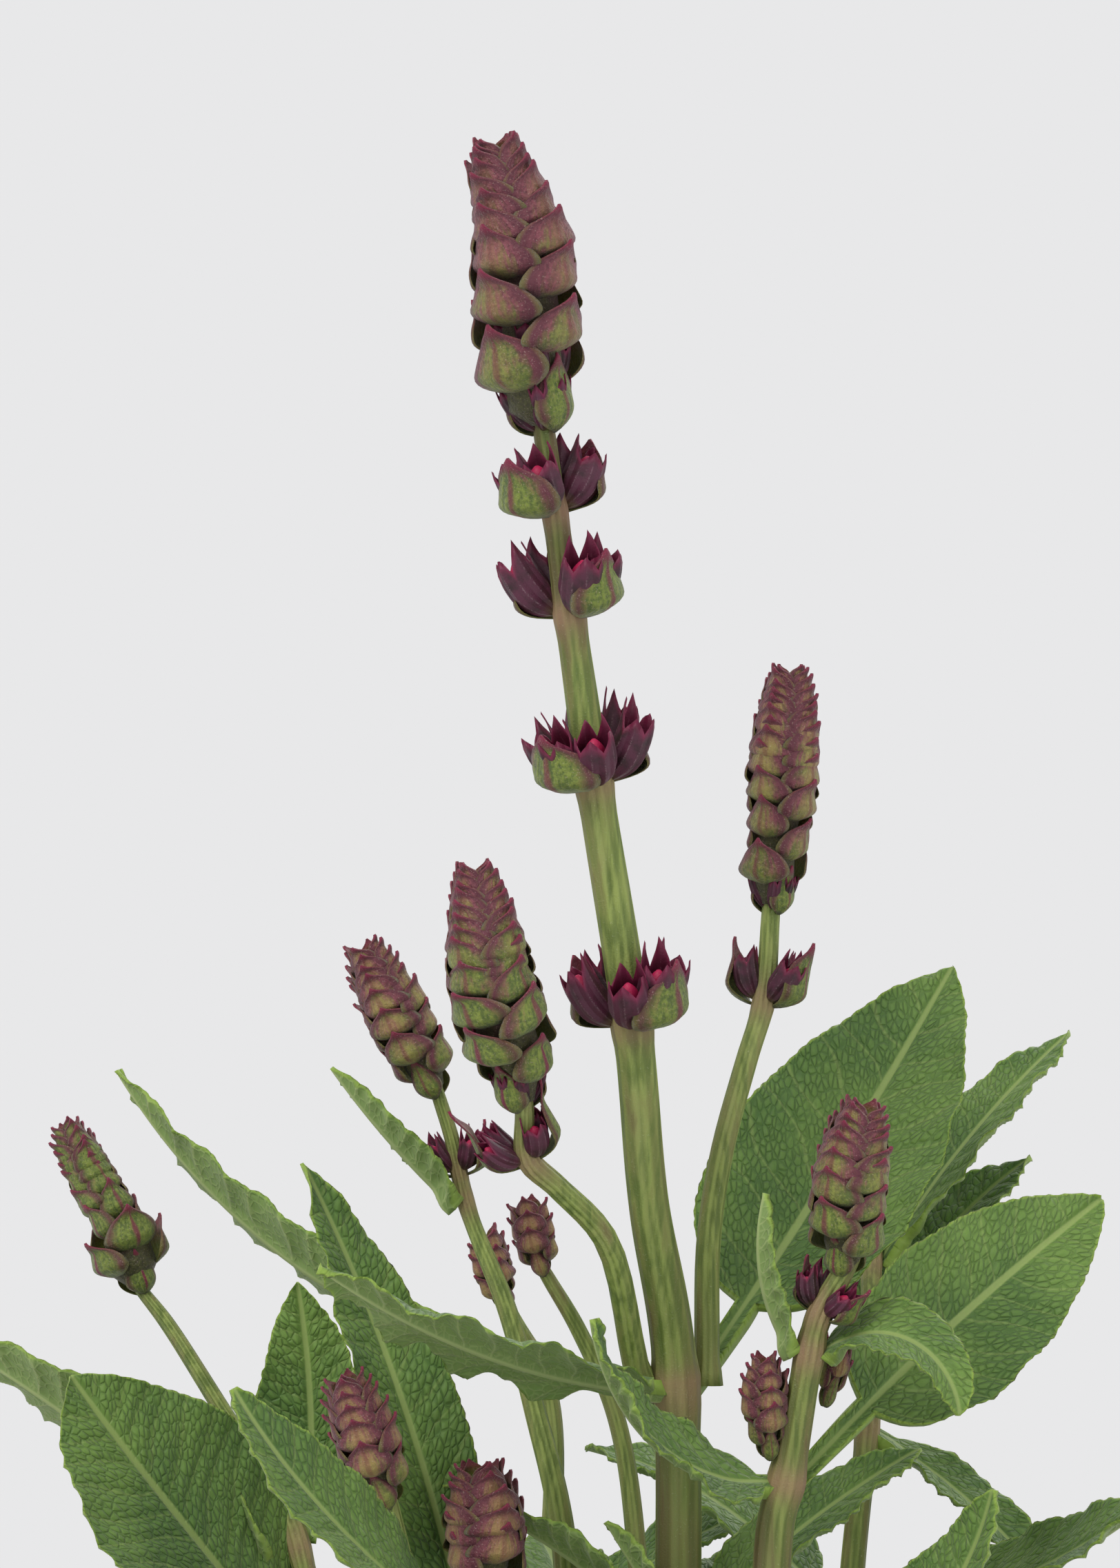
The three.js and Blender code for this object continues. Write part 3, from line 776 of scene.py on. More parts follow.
@dataclass(frozen=True)
class SoilFinish:
    """Dark peat, with brown fibres and a few white grains."""

    dark: str = "#2C2019"
    brown: str = "#5A4332"
    fibre: str = "#7A6048"
    grain: str = "#CFC8BA"

    def made(self) -> bpy.types.Material:
        """Builds the material.

        Returns:
            The material.
        """
        d = Dress("potting_soil")
        pale, tone, _ = d.trait("skin")
        clump = d.noise(260.0, 5.0)
        fine = d.noise(1600.0, 3.0)
        peat = (clump + (tone - 0.5) * 0.4).rise(0.35, 0.7)
        colour = d.mix(peat, shade(self.dark), shade(self.brown))
        colour = d.mix(fine.rise(0.6, 0.75) * 0.4, colour, shade(self.fibre))
        colour = d.mix(pale, colour, shade(self.grain))
        return d.wear(
            Base_Color=colour, Roughness=0.95, Normal=d.bump(clump + fine * 0.6, 0.0006, 0.9)
        )


# ---- The pot and its soil ------------------------------------------------------------------


@dataclass(frozen=True)
class Pot:
    """A turned clay pot with a band at its rim and three holes in its floor."""

    height: float
    rim: float
    finish: bpy.types.Material
    foot: float = 45.0
    wall: float = 5.5
    floor: float = 6.0
    band: float = 24.0
    proud: float = 3.0
    draft: float = 0.5
    shoulder: float = 1.0
    rounding: float = 1.6
    hole: float = 6.0
    hole_circle: float = 24.0
    hole_headings: tuple[float, ...] = (90.0, 210.0, 330.0)
    around: int = 144

    def inside(self, up: Array) -> Array:
        """Radius of the inside at a height: tapered up to the band, then straight.

        Args:
            up: One height or more above the foot.

        Returns:
            The radius at each.
        """
        top = self.rim - self.proud
        share = np.clip(np.asarray(up, float) / (self.height - self.band), 0, 1)
        return self.foot + (top - self.foot) * share - self.wall

    def profile(self) -> Array:
        """The outline from the middle of the foot, out, up, over the rim and down inside.

        Each corner is rounded by a curve between points set back from it, and the straight
        stretches are filled with points three millimetres apart.

        Returns:
            Radius and height of each point.
        """
        band = self.height - self.band
        inner = float(self.inside(self.height))
        corners = np.array([
            (0.02, 0), (self.foot, 0), (self.rim - self.proud, band),
            (self.rim - self.draft, band + self.shoulder), (self.rim, self.height),
            (inner, self.height), (float(self.inside(band)), band),
            (float(self.inside(self.floor)), self.floor), (0.02, self.floor),
        ])
        rounds = (0, 1.5, 0.8, 0.8, self.rounding, self.rounding, 2.0, 3.0, 0)
        line = [corners[0]]
        for at in range(1, len(corners) - 1):
            before, here, after = corners[at - 1], corners[at], corners[at + 1]
            start = here + unit(before - here) * rounds[at]
            end = here + unit(after - here) * rounds[at]
            reach = max(2, int(np.linalg.norm(start - line[-1]) / 3))
            line.extend(line[-1] + (start - line[-1]) * np.linspace(0, 1, reach)[1:, None])
            part = np.linspace(0, 1, 7)[1:, None]
            line.extend((1 - part) ** 2 * start + 2 * part * (1 - part) * here + part**2 * end)
        reach = max(2, int(np.linalg.norm(corners[-1] - line[-1]) / 3))
        line.extend(line[-1] + (corners[-1] - line[-1]) * np.linspace(0, 1, reach)[1:, None])
        return np.array(line)

    def turned(self) -> Shell:
        """The outline turned about the upright axis, very slightly out of round.

        The radius is multiplied by one plus two small sines of the angle, with two waves
        and five waves to a turn.

        Returns:
            The closed shell, without its holes.
        """
        radius, up = (column[:, None] for column in self.profile().T)
        angle = np.linspace(0, TURN, self.around, endpoint=False)[None, :]
        wander = 1 + 0.0016 * np.sin(2 * angle + 0.7) + 0.0009 * np.sin(5 * angle + up * 0.04)
        reach = radius * wander
        rings = np.stack(
            [reach * np.cos(angle), reach * np.sin(angle), up + 0 * angle], axis=-1
        )
        return tube(rings)

    def drills(self) -> Shell:
        """One round bar for each hole, longer than the floor is thick.

        Returns:
            The bars as one shell.
        """
        angle = np.linspace(0, TURN, 48, endpoint=False)
        circle = np.stack([np.cos(angle), np.sin(angle), 0 * angle], axis=-1) * self.hole
        ends = np.array([-self.floor, self.floor * 2])[:, None, None] * UP
        centres = level(np.array(self.hole_headings)) * self.hole_circle
        return joined([tube(circle[None] + ends + centre) for centre in centres])

    def build(self) -> None:
        """Cuts the holes out of the turned pot and settles it."""
        turned = as_piece("turned_pot", self.turned(), self.finish)
        drills = as_piece("hole_drills", self.drills(), self.finish)
        cut = turned.modifiers.new("holes", "BOOLEAN")
        cut.operation = "DIFFERENCE"
        cut.solver = "EXACT"
        cut.object = drills
        graph = bpy.context.evaluated_depsgraph_get()
        mesh = bpy.data.meshes.new_from_object(turned.evaluated_get(graph))
        for spare in (turned, drills):
            bpy.data.objects.remove(spare)
        mesh.materials.clear()
        mesh.materials.append(self.finish)
        mesh.set_sharp_from_angle(angle=math.radians(50))
        piece = bpy.data.objects.new("clay_pot", mesh)
        bpy.context.scene.collection.objects.link(piece)
        settle(piece, ["pot"])


@dataclass(frozen=True)
class Soil:
    """The lump of potting soil, its rough top, and the loose crumbs that lie on it."""

    pot: Pot
    edge: float
    crown: float
    finish: bpy.types.Material
    clearance: float = 0.4
    roughness: float = 0.9
    crumbs: int = 520
    smallest: float = 0.5
    spread: float = 1.5
    grain_share: float = 0.07

    def top(self, x: Array, y: Array) -> Array:
        """Height of the surface: a low crown with three sizes of uneven clumps on it.

        Args:
            x: Places from left to right.
            y: Places from front to back.

        Returns:
            The edge's height, plus the crown times one less the squared distance as a part
            of the brim's, plus waves that fade out at the brim.
        """
        brim = float(self.pot.inside(self.edge)) - self.clearance
        swell = 1 - (x**2 + y**2) / brim**2
        rough = waves(x, y, 9.0, 3) + 0.6 * waves(x, y, 3.4, 4) + 0.35 * waves(x, y, 1.5, 5)
        return self.edge + self.crown * swell + self.roughness * 0.6 * rough * ease(swell, 0, 0.12)

    def lump(self) -> Shell:
        """The lump: out under it, up the pot's inside, then over the top to the middle.

        Returns:
            The closed shell.
        """
        angle = np.linspace(0, TURN, 200, endpoint=False)[None, :]
        low = self.pot.floor + self.clearance
        side = np.linspace(low, self.edge, 14)[:, None]
        reach = self.pot.inside(side) - self.clearance + 0 * angle
        brim = float(self.pot.inside(self.edge)) - self.clearance
        over = (np.linspace(1, 0.01, 70)[1:, None] * brim) + 0 * angle
        under = np.linspace(0.01, 1, 6)[:-1, None] * float(reach[0, 0]) + 0 * angle
        radius = np.concatenate([under, reach, over])
        x, y = radius * np.cos(angle), radius * np.sin(angle)
        up = np.concatenate([
            np.full_like(under, low), side + 0 * angle,
            self.top(over * np.cos(angle), over * np.sin(angle)),
        ])
        skin = np.stack([0 * up, 0.5 + 0 * up, 0 * up], axis=-1)
        return tube(np.stack([x, y, up], axis=-1), skin=skin)

    def scattered(self) -> Shell:
        """Loose crumbs, sunk a little into the surface.

        Each is the twenty-sided solid of twelve corners, which are the turns of (0, 1, the
        golden ratio), with each corner's distance and each axis's scale drawn at random.

        Returns:
            All the crumbs as one shell.
        """
        draw = np.random.default_rng(11)
        ratio = (1 + math.sqrt(5)) / 2
        corners = np.array([(s, t * ratio, 0) for s in (-1, 1) for t in (-1, 1)])
        corners = np.concatenate([np.roll(corners, turn, axis=1) for turn in range(3)])
        corners = unit(corners)
        apart = np.linalg.norm(corners[:, None] - corners[None], axis=-1)
        near = (apart > 0.1) & (apart < 1.2)
        faces = [
            (i, j, k) for i in range(12) for j in range(i + 1, 12) for k in range(j + 1, 12)
            if near[i, j] and near[j, k] and near[i, k]
        ]
        first, second, third = (corners[[face[at] for face in faces]] for at in range(3))
        facing = np.sum(np.cross(second - first, third - first) * first, axis=1) > 0
        fans = np.where(facing[:, None], np.array(faces), np.array(faces)[:, [0, 2, 1]])
        brim = float(self.pot.inside(self.edge)) - 2.5
        angle, spread = TURN * draw.random(self.crumbs), np.sqrt(draw.random(self.crumbs)) * brim
        x, y = spread * np.cos(angle), spread * np.sin(angle)
        size = self.smallest + self.spread * draw.random(self.crumbs) ** 2.5
        shape = 1 + 0.45 * (draw.random((self.crumbs, 12, 1)) - 0.5)
        squash = 0.65 + 0.5 * draw.random((self.crumbs, 1, 3))
        centre = np.stack([x, y, self.top(x, y) + size * 0.25], axis=-1)
        points = corners[None] * shape * squash * size[:, None, None] + centre[:, None]
        pale = (draw.random(self.crumbs) < self.grain_share) * 1.0
        tone = draw.random(self.crumbs)
        skin = np.stack([pale, tone, 0 * tone], axis=-1)
        shift = (np.arange(self.crumbs) * 12)[:, None, None]
        return Shell(
            points.reshape(-1, 3), np.zeros((0, 4), int), (fans[None] + shift).reshape(-1, 3),
            {"skin": np.repeat(skin, 12, axis=0)},
        )

    def build(self) -> None:
        """Settles the lump and the crumbs."""
        settle(as_piece("soil_lump", self.lump(), self.finish), ["soil"])
        settle(as_piece("soil_crumbs", self.scattered(), self.finish))


# ---- Stems -----------------------------------------------------------------------------------


@dataclass(frozen=True)
class Route:
    """A smooth line through points, with a radius carried along it.

    Between two points the line is a cubic whose slopes come from the neighbouring points,
    weighed by the square roots of the distances, so that it never overshoots a short span.
    """

    points: Array
    radii: Array

    @classmethod
    def through(cls, rows: Sequence[Sequence[float]], base: float) -> "Route":
        """A route through rows of x, y, height above the base and radius."""
        table = np.array(rows, float)
        return cls(table[:, :3] + UP * base, table[:, 3])

    def at(self, share: Union[float, Array]) -> tuple[Array, Array, Array]:
        """The line at shares of the route.

        Args:
            share: One share or more, from 0 at the foot to 1 at the top.

        Returns:
            Places, unit directions and radii.
        """
        share = np.atleast_1d(np.asarray(share, float))
        spans = len(self.points) - 1
        span = np.minimum((share * spans).astype(int), spans - 1)
        part = (share * spans - span)[:, None]
        ends = (2 * self.points[:1] - self.points[1:2], 2 * self.points[-1:] - self.points[-2:-1])
        padded = np.concatenate([ends[0], self.points, ends[1]])
        p0, p1, p2, p3 = (padded[span + step] for step in range(4))
        d0, d1, d2 = (
            np.sqrt(np.linalg.norm(b - a, axis=1, keepdims=True))
            for a, b in ((p0, p1), (p1, p2), (p2, p3))
        )
        start = d1 * ((p1 - p0) / d0 - (p2 - p0) / (d0 + d1) + (p2 - p1) / d1)
        end = d1 * ((p2 - p1) / d1 - (p3 - p1) / (d1 + d2) + (p3 - p2) / d2)
        square = 3 * (p2 - p1) - 2 * start - end
        cube = 2 * (p1 - p2) + start + end
        places = p1 + part * (start + part * (square + part * cube))
        slopes = start + part * (2 * square + 3 * part * cube)
        radii = self.radii[span] + (self.radii[span + 1] - self.radii[span]) * part[:, 0]
        return places, unit(slopes), radii

    def crossing(self, up: float) -> tuple[Array, Array, float]:
        """Where the route passes a height.

        Args:
            up: The height.

        Returns:
            The place, the direction and the radius there.
        """
        shares = np.linspace(0, 1, 1501)
        heights = self.at(shares)[0][:, 2]
        place, direction, radius = self.at(np.interp(up, heights, shares))
        return place[0], direction[0], float(radius[0])


def across_and_forward(direction: Array) -> tuple[Array, Array]:
    """Two directions square to each given one: +X laid square to it, and the third."""
    across = unit(EAST - direction * direction[..., :1])
    return across, np.cross(direction, across)


@dataclass(frozen=True)
class Stem:
    """One square stem or branch, with a swelling at each node."""

    name: str
    route: Route
    nodes: tuple[float, ...]
    rooted: bool
    soil_top: float
    blush: float
    finish: bpy.types.Material
    around: int = 40
    step: float = 1.3
    planting_depth: float = 13.0
    collar: float = 2.2
    collar_flare: tuple[float, float] = (1.3, 1.18)
    head: float = 3.0
    head_taper: tuple[float, float] = (0.9, 0.6)
    corner_depth: float = 0.055
    ridge_depth: float = 0.018
    joint_swell: float = 0.14
    joint_half: float = 1.4

    def shell(self) -> Shell:
        """The stem's skin.

        A ring's radius is the route's, times one plus a wave with four corners and a finer
        one with twelve ridges, times a swelling shaped as a bell at each node. A branch
        starts with a wider ring inside its parent, and a rooted stem with one in the soil.
        The top runs on into the flower spike.

        Returns:
            The closed shell.
        """
        length = np.linalg.norm(np.diff(self.route.points, axis=0), axis=1).sum()
        share = np.linspace(0, 1, max(8, int(length / self.step)))
        places, directions, radii = self.route.at(share)
        if self.rooted:
            back, flare = UP * self.planting_depth, np.ones(2)
        else:
            back, flare = directions[0] * self.collar, np.array(self.collar_flare)
        foot = places[0] - back * np.array([[1.0], [0.5]])
        head = places[-1] + directions[-1] * self.head * np.array([[0.5], [1.0]])
        places = np.concatenate([foot, places, head])
        directions = np.pad(directions, ((2, 2), (0, 0)), mode="edge")
        radii = np.concatenate([radii[0] * flare, radii, radii[-1] * np.array(self.head_taper)])
        across, forward = across_and_forward(directions)
        angle = np.linspace(0, TURN, self.around, endpoint=False)[None, :]
        corner = np.cos(4 * (angle - TURN / 8))
        ridge = np.cos(12 * (angle - TURN / 8)) + 0 * places[:, :1]
        up = places[:, 2:3]
        joint = np.zeros_like(up)
        for node in self.nodes:
            joint = np.maximum(joint, bell(up - node, self.joint_half))
        square = 1 + self.corner_depth * corner + self.ridge_depth * ridge
        reach = radii[:, None] * square * (1 + self.joint_swell * joint)
        rings = (
            places[:, None]
            + across[:, None] * (reach * np.cos(angle))[..., None]
            + forward[:, None] * (reach * np.sin(angle))[..., None]
        )
        flat = 0 * reach
        depth = np.clip(1 - (up - self.soil_top) / 150, 0, 1)
        rind = np.stack([corner + flat, ridge + flat, joint + flat], axis=-1)
        high = ease(up - self.soil_top, 148, 172)
        tinge = self.blush * (0.3 + depth + 0.75 * high)
        skin = np.stack([tinge + flat, flat, flat], axis=-1)
        return tube(rings, rind=rind, skin=skin)

    def build(self) -> None:
        """Settles the stem."""
        piece = as_piece(f"sage_stem_{self.name}", self.shell(), self.finish)
        settle(piece, [f"stem_{self.name}"])


# ---- Thin sheets: leaves and bracts ----------------------------------------------------------


def sheet(
    centre: Array, along: Array, side: Array, width: Array, arch: Array, lift: Array,
    thickness: Array,
) -> Array:
    """A thin closed sheet around a midrib, as rings of points.

    Across the midrib the sheet is an arc: at a distance w from the midrib it stands
    sin(arch w) / arch to the side and (1 - cos(arch w)) / arch above it. The lift is added
    to that, and the underside lies a thickness below, square to the arc.

    Args:
        centre: The midrib's places.
        along: Its directions.
        side: The sheet's direction to the side.
        width: Signed distance from the midrib of each place on the upper side.
        arch: Curvature of the arc at each midrib place.
        lift: Height added to each place of the upper side.
        thickness: Thickness under each place.

    Returns:
        Rings: the upper side from edge to edge, then the underside back.
    """
    face = np.cross(along, side)
    arch = np.where(np.abs(arch) < 1e-6, 1e-6, arch)[:, None]
    angle = arch * width
    over, high = np.sin(angle) / arch, (1 - np.cos(angle)) / arch
    normal = face[:, None] * np.cos(angle)[..., None] - side[:, None] * np.sin(angle)[..., None]
    upper = (
        centre[:, None] + side[:, None] * over[..., None] + face[:, None] * high[..., None]
        + normal * lift[..., None]
    )
    lower = upper - normal * thickness[..., None]
    return np.concatenate([upper, lower[:, -2:0:-1]], axis=1)


def both_sides(upper: Array, lower: Array) -> Array:
    """Values of the upper side followed by those of the underside, as a sheet's rings run."""
    return np.concatenate([upper, lower[:, -2:0:-1]], axis=1)


@dataclass(frozen=True)
class Leaf:
    """One leaf: a stalk, then a blade that is widest at its lower third.

    The midrib leaves its stem at a heading and a rise. Its rise changes by bend and its
    heading by swing on the way to the tip, and roll turns the blade about it, in degrees.
    """

    stem: str
    height: float
    heading: float
    rise: float
    bend: float
    swing: float
    length: float
    width: float
    roll: float
    stalk: float
    ripple: float = 0.35
    curl: float = 0.0
    grain: float = 0.33
    swell: float = 0.45
    taper: float = 0.8
    stalk_half: float = 0.85
    point_half: float = 0.14
    scallop: float = 1.15
    scallop_depth: float = 0.16
    wave: float = 7.5
    vein_half: float = 0.35
    paper: float = 0.22

    def outline(self, share: Array) -> Array:
        """Half the width along the leaf.

        The blade is share^swell (1 - share)^taper, as a part of its largest value. The root
        of the sum of its square and that of a strip, which narrows from the stalk to the
        point, joins the two.

        Args:
            share: Shares of the leaf's length.

        Returns:
            Half the width at each.
        """
        part = np.clip((share - self.stalk) / (1 - self.stalk), 0, 1)
        peak = self.swell / (self.swell + self.taper)
        largest = peak**self.swell * (1 - peak) ** self.taper
        blade = self.width / 2 * part**self.swell * (1 - part) ** self.taper / largest
        strip = self.stalk_half + (self.point_half - self.stalk_half) * part**0.5
        return np.sqrt(blade**2 + strip**2)

    def shell(self, route: Route, soil_top: float, seed: float) -> Shell:
        """The leaf's skin, with its veins pressed in and the blade between them raised.

        Side veins leave the midrib at even steps and run forward as they go out. Along each
        the upper side is pressed down and the underside stands out. The blade's edge is
        scalloped by the size of a sine, and its rim ripples up and down.

        Args:
            route: The stem's line.
            soil_top: Height of the soil.
            seed: A number of its own, for its ripples.

        Returns:
            The closed shell.
        """
        start, _, radius = route.crossing(soil_top + self.height)
        count = max(20, int(self.length / self.grain))
        share = np.linspace(0, 1, count + 1)
        climb = np.radians(self.rise + self.bend * share)[:, None]
        flat = level(self.heading + self.swing * share)
        along = flat * np.cos(climb) + UP * np.sin(climb)
        sideways = np.cross(UP, flat)
        roll = math.radians(self.roll)
        side = sideways * math.cos(roll) + np.cross(along, sideways) * math.sin(roll)
        stride = self.length / count
        walked = np.concatenate([np.zeros((1, 3)), np.cumsum((along[1:] + along[:-1]) / 2, axis=0)])
        centre = start + level(self.heading) * radius * 0.75 + walked * stride
        half = self.outline(share)
        sides = max(10, 2 * int(self.width / self.grain / 2))
        place = np.linspace(-1, 1, sides + 1)[None, :]
        run = (share * self.length)[:, None]
        blade = ease(share, self.stalk * 0.8, self.stalk + 0.12)[:, None]
        tooth = self.scallop_depth * (np.abs(np.sin(np.pi * run / self.scallop)) - 0.5) * blade
        across = place * (half[:, None] + tooth * np.abs(place) ** 10)
        out = np.abs(across)
        spacing = 1 / max(1.9, self.length / 13)
        course = (run - out * VEIN_LEAN) * spacing + 0.5 * (across > 0)
        course = course + 0.18 * np.sin(run * 0.8 + seed) * ease(out, 0, 2)
        vein = bell((course - np.round(course)) / spacing, self.vein_half) * ease(out, 0.2, 0.9)
        panel = np.sin(np.pi * course) ** 2 * ease(out, 0.3, 1.5)
        rim = np.abs(place) ** 3
        sway = self.ripple * rim * np.sin(TURN * run / self.wave + 2.1 * np.sign(place) + seed)
        lift = blade * (
            0.16 * panel - 0.1 * vein - 0.3 * bell(out, 0.4) + sway
            - self.curl * half[:, None] * np.abs(place) ** 4
        )
        stout = 0.95 * (1 - blade) + 0.55 * bell(out, 0.45) * (1 - 0.75 * share[:, None])
        thickness = self.paper + stout + 0.16 * vein * blade
        arch = 0.44 * np.sin(np.pi * share) / half
        rings = sheet(centre, along, side, across, arch, lift, thickness)
        none = 0 * across
        mark = np.stack([run + none, across, half[:, None] + none], axis=-1)
        upper = np.stack([none, none + seed, course], axis=-1)
        lower = np.stack([none + 1, none + seed, course], axis=-1)
        return tube(rings, blade=both_sides(mark, mark), skin=both_sides(upper, lower))


@dataclass(frozen=True)
class Bract:
    """A hollow scale that stands around its axis and ends in a fine point."""

    length: float
    half_angle: float
    start: float
    reach: float
    age: float
    pinch: float = 0.0
    tuck: float = 0.12
    flick: float = 0.35
    slim: float = 0.45
    taper: float = 0.75
    steep: float = 1.5
    mellow: float = 0.0
    opened: float = 0.42
    point: float = 0.72
    point_half: float = 0.05
    paper: float = 0.12
    midrib: float = 0.1
    midrib_half: float = 0.35
    stations: int = 20
    sides: int = 12

    def shell(self, foot: Array, axis: Array, out: Array, tone: float) -> Shell:
        """The scale's skin, laid around the axis as rings of part circles.

        The distance from the axis grows by a quarter of a sine while the scale climbs by
        the length times share^steep, then it leans in, and its point turns out again. Half
        its angle around the axis is share^slim (1 - share)^taper, as a part of its largest
        value and drawn in near the point. Its rim ripples slightly and is pinched towards
        the axis by the square of the angle. The thickness is laid square to the midrib.

        Args:
            foot: The place on the axis where it grows.
            axis: The axis's direction.
            out: The direction that it faces, square to the axis.
            tone: Its own share of colour, 0 to 1.

        Returns:
            The closed shell.
        """
        share = np.linspace(0.005, 1, self.stations) ** 0.9
        open_out = np.sin(np.minimum(share / self.opened, 1) * TURN / 4)
        radius = self.start + (self.reach - self.start) * open_out
        radius = radius - self.tuck * self.reach * share**2
        radius = radius + self.flick * ease(share, self.point, 1.0)
        climb = self.length * share**self.steep
        slope = unit(np.stack([np.gradient(radius), np.gradient(climb)], axis=-1))
        peak = self.slim / (self.slim + self.taper)
        largest = peak**self.slim * (1 - peak) ** self.taper
        angle = self.half_angle * share**self.slim * (1 - share) ** self.taper / largest
        angle = angle * (1 - 0.6 * ease(share, self.point, 0.97)) + self.point_half / radius
        place = np.linspace(-1, 1, self.sides + 1)[None, :]
        turn = place * angle[:, None] + (tone - 0.5) * 0.25 * share[:, None] ** 2
        ray = out * np.cos(turn)[..., None] + np.cross(axis, out) * np.sin(turn)[..., None]
        ripple = 0.07 * place**2 * np.sin(7 * share[:, None] + 9 * tone + 2 * place)
        distance = radius[:, None] * (1 - self.pinch * turn**2 + ripple * angle[:, None])
        inner = foot + ray * distance[..., None] + axis * climb[:, None, None]
        normal = ray * slope[:, None, 1:] - axis * slope[:, None, :1]
        away = place * angle[:, None] * radius[:, None]
        thickness = self.paper + self.midrib * bell(away, self.midrib_half)
        outer = inner + normal * thickness[..., None]
        rings = np.concatenate([inner, outer[:, -2:0:-1]], axis=1)
        flat = 0 * turn
        scale = np.stack([share[:, None] + flat, place + flat, self.age + flat], axis=-1)
        inside = np.stack([flat + 1, flat + tone, flat], axis=-1)
        outside = np.stack([flat, flat + tone, flat + self.mellow], axis=-1)
        return tube(rings, scale=both_sides(scale, scale), skin=both_sides(inside, outside))


# ---- Calyxes and their buds ------------------------------------------------------------------


@dataclass(frozen=True)
class Calyx:
    """A ribbed cup with five sharp teeth, on a stalk that bends up."""

    length: float
    radius: float
    rise: float = 42.0
    bend: float = 46.0
    wall: float = 0.12
    opened: float = 0.6
    teeth: int = 5
    ribs: int = 10
    rib_depth: float = 0.035
    bud_width: float = 0.6
    around: int = 40

    def walk(self, far: Array, foot: Array, axis: Array, out: Array) -> tuple[Array, Array]:
        """The middle line and its direction at distances from the foot.

        The line climbs at the rise plus bend times its share, so its place is the sum of
        cosines and sines in closed form.

        Args:
            far: Distances along the line.
            foot: Where it starts.
            axis: The stem's direction.
            out: The direction that the cup faces, square to the stem.

        Returns:
            The places and the directions.
        """
        start, turn = math.radians(self.rise), math.radians(self.bend) / self.length
        angle = start + turn * far
        over = (np.sin(angle) - math.sin(start)) / turn
        high = (math.cos(start) - np.cos(angle)) / turn
        place = foot + out * over[..., None] + axis * high[..., None]
        return place, out * np.cos(angle)[..., None] + axis * np.sin(angle)[..., None]

    def shell(self, foot: Array, axis: Array, out: Array, tone: float) -> Shell:
        """The cup's skin: up the outside, over the toothed rim and down the inside.

        The radius opens by a quarter of a sine over the lower half. Ten ribs stand out as a
        cosine. Each tooth is a triangle wave that lengthens the wall, most at the rim and
        most on the side of the stem.

        Args:
            foot: Where the cup's stalk starts.
            axis: The stem's direction.
            out: The direction that the cup faces, square to the stem.
            tone: Its own share of colour, 0 to 1.

        Returns:
            The closed shell.
        """
        outside, inside = np.linspace(0.02, 1, 11), np.linspace(0.98, 0.3, 6)
        share = np.concatenate([outside, inside])[:, None]
        inner = np.concatenate([0 * outside, 0 * inside + 1])[:, None]
        angle = np.linspace(0, TURN, self.around, endpoint=False)[None, :]
        phase = angle * self.teeth / TURN
        wave = 1 - np.abs(2 * (phase - np.floor(phase)) - 1)
        tall = 0.4 + 0.6 * ease(np.sin(angle + 0.9 * tone), -0.1, 0.8)
        far = self.length * (0.66 * share + 0.4 * tall * wave**0.85 * share**3)
        rib = np.cos(self.ribs * angle)
        body = 0.26 + 0.74 * np.sin(np.minimum(share / self.opened, 1) * TURN / 4)
        ribbed = 1 + self.rib_depth * rib * (1 - inner)
        round_ = self.radius * body * ribbed - self.wall * inner
        round_ = round_ * (1 - 0.08 * share**6 * (1 - wave) - 0.35 * tall * share**6 * wave**2)
        centre, along = self.walk(far, foot, axis, out)
        side = np.cross(axis, out)
        face = np.cross(along, side)
        rings = (
            centre + side * (round_ * np.cos(angle))[..., None] * 1.06
            + face * (round_ * np.sin(angle))[..., None] * 0.94
        )
        flat = 0 * far
        cup = np.stack([share + flat, rib + flat, flat], axis=-1)
        skin = np.stack([inner + flat, flat + tone, flat], axis=-1)
        return tube(rings, cup=cup, skin=skin)

    def bud(self, foot: Array, axis: Array, out: Array, tone: float) -> Shell:
        """The closed flower in the cup's mouth: an egg on the cup's own middle line.

        Args:
            foot: Where the cup's stalk starts.
            axis: The stem's direction.
            out: The direction that the cup faces, square to the stem.
            tone: Its own share of colour and of length, 0 to 1.

        Returns:
            The closed shell.
        """
        share = np.linspace(0.03, 0.97, 10)[:, None]
        angle = np.linspace(0, TURN, 16, endpoint=False)[None, :]
        far = self.length * (0.3 + (0.36 + 0.12 * tone) * share) + 0 * angle
        round_ = self.radius * self.bud_width * np.sin(np.pi * share**0.8) ** 0.7
        centre, along = self.walk(far, foot, axis, out)
        side = np.cross(axis, out)
        face = np.cross(along, side)
        rings = (
            centre + side * (round_ * np.cos(angle))[..., None]
            + face * (round_ * np.sin(angle))[..., None]
        )
        flat = 0 * far
        cup = np.stack([share + flat, flat, flat + 1], axis=-1)
        skin = np.stack([flat, flat + tone, flat], axis=-1)
        return tube(rings, cup=cup, skin=skin)


# ---- Whorls and spikes -------------------------------------------------------------------------

Pair = tuple[list[Shell], list[Shell]]


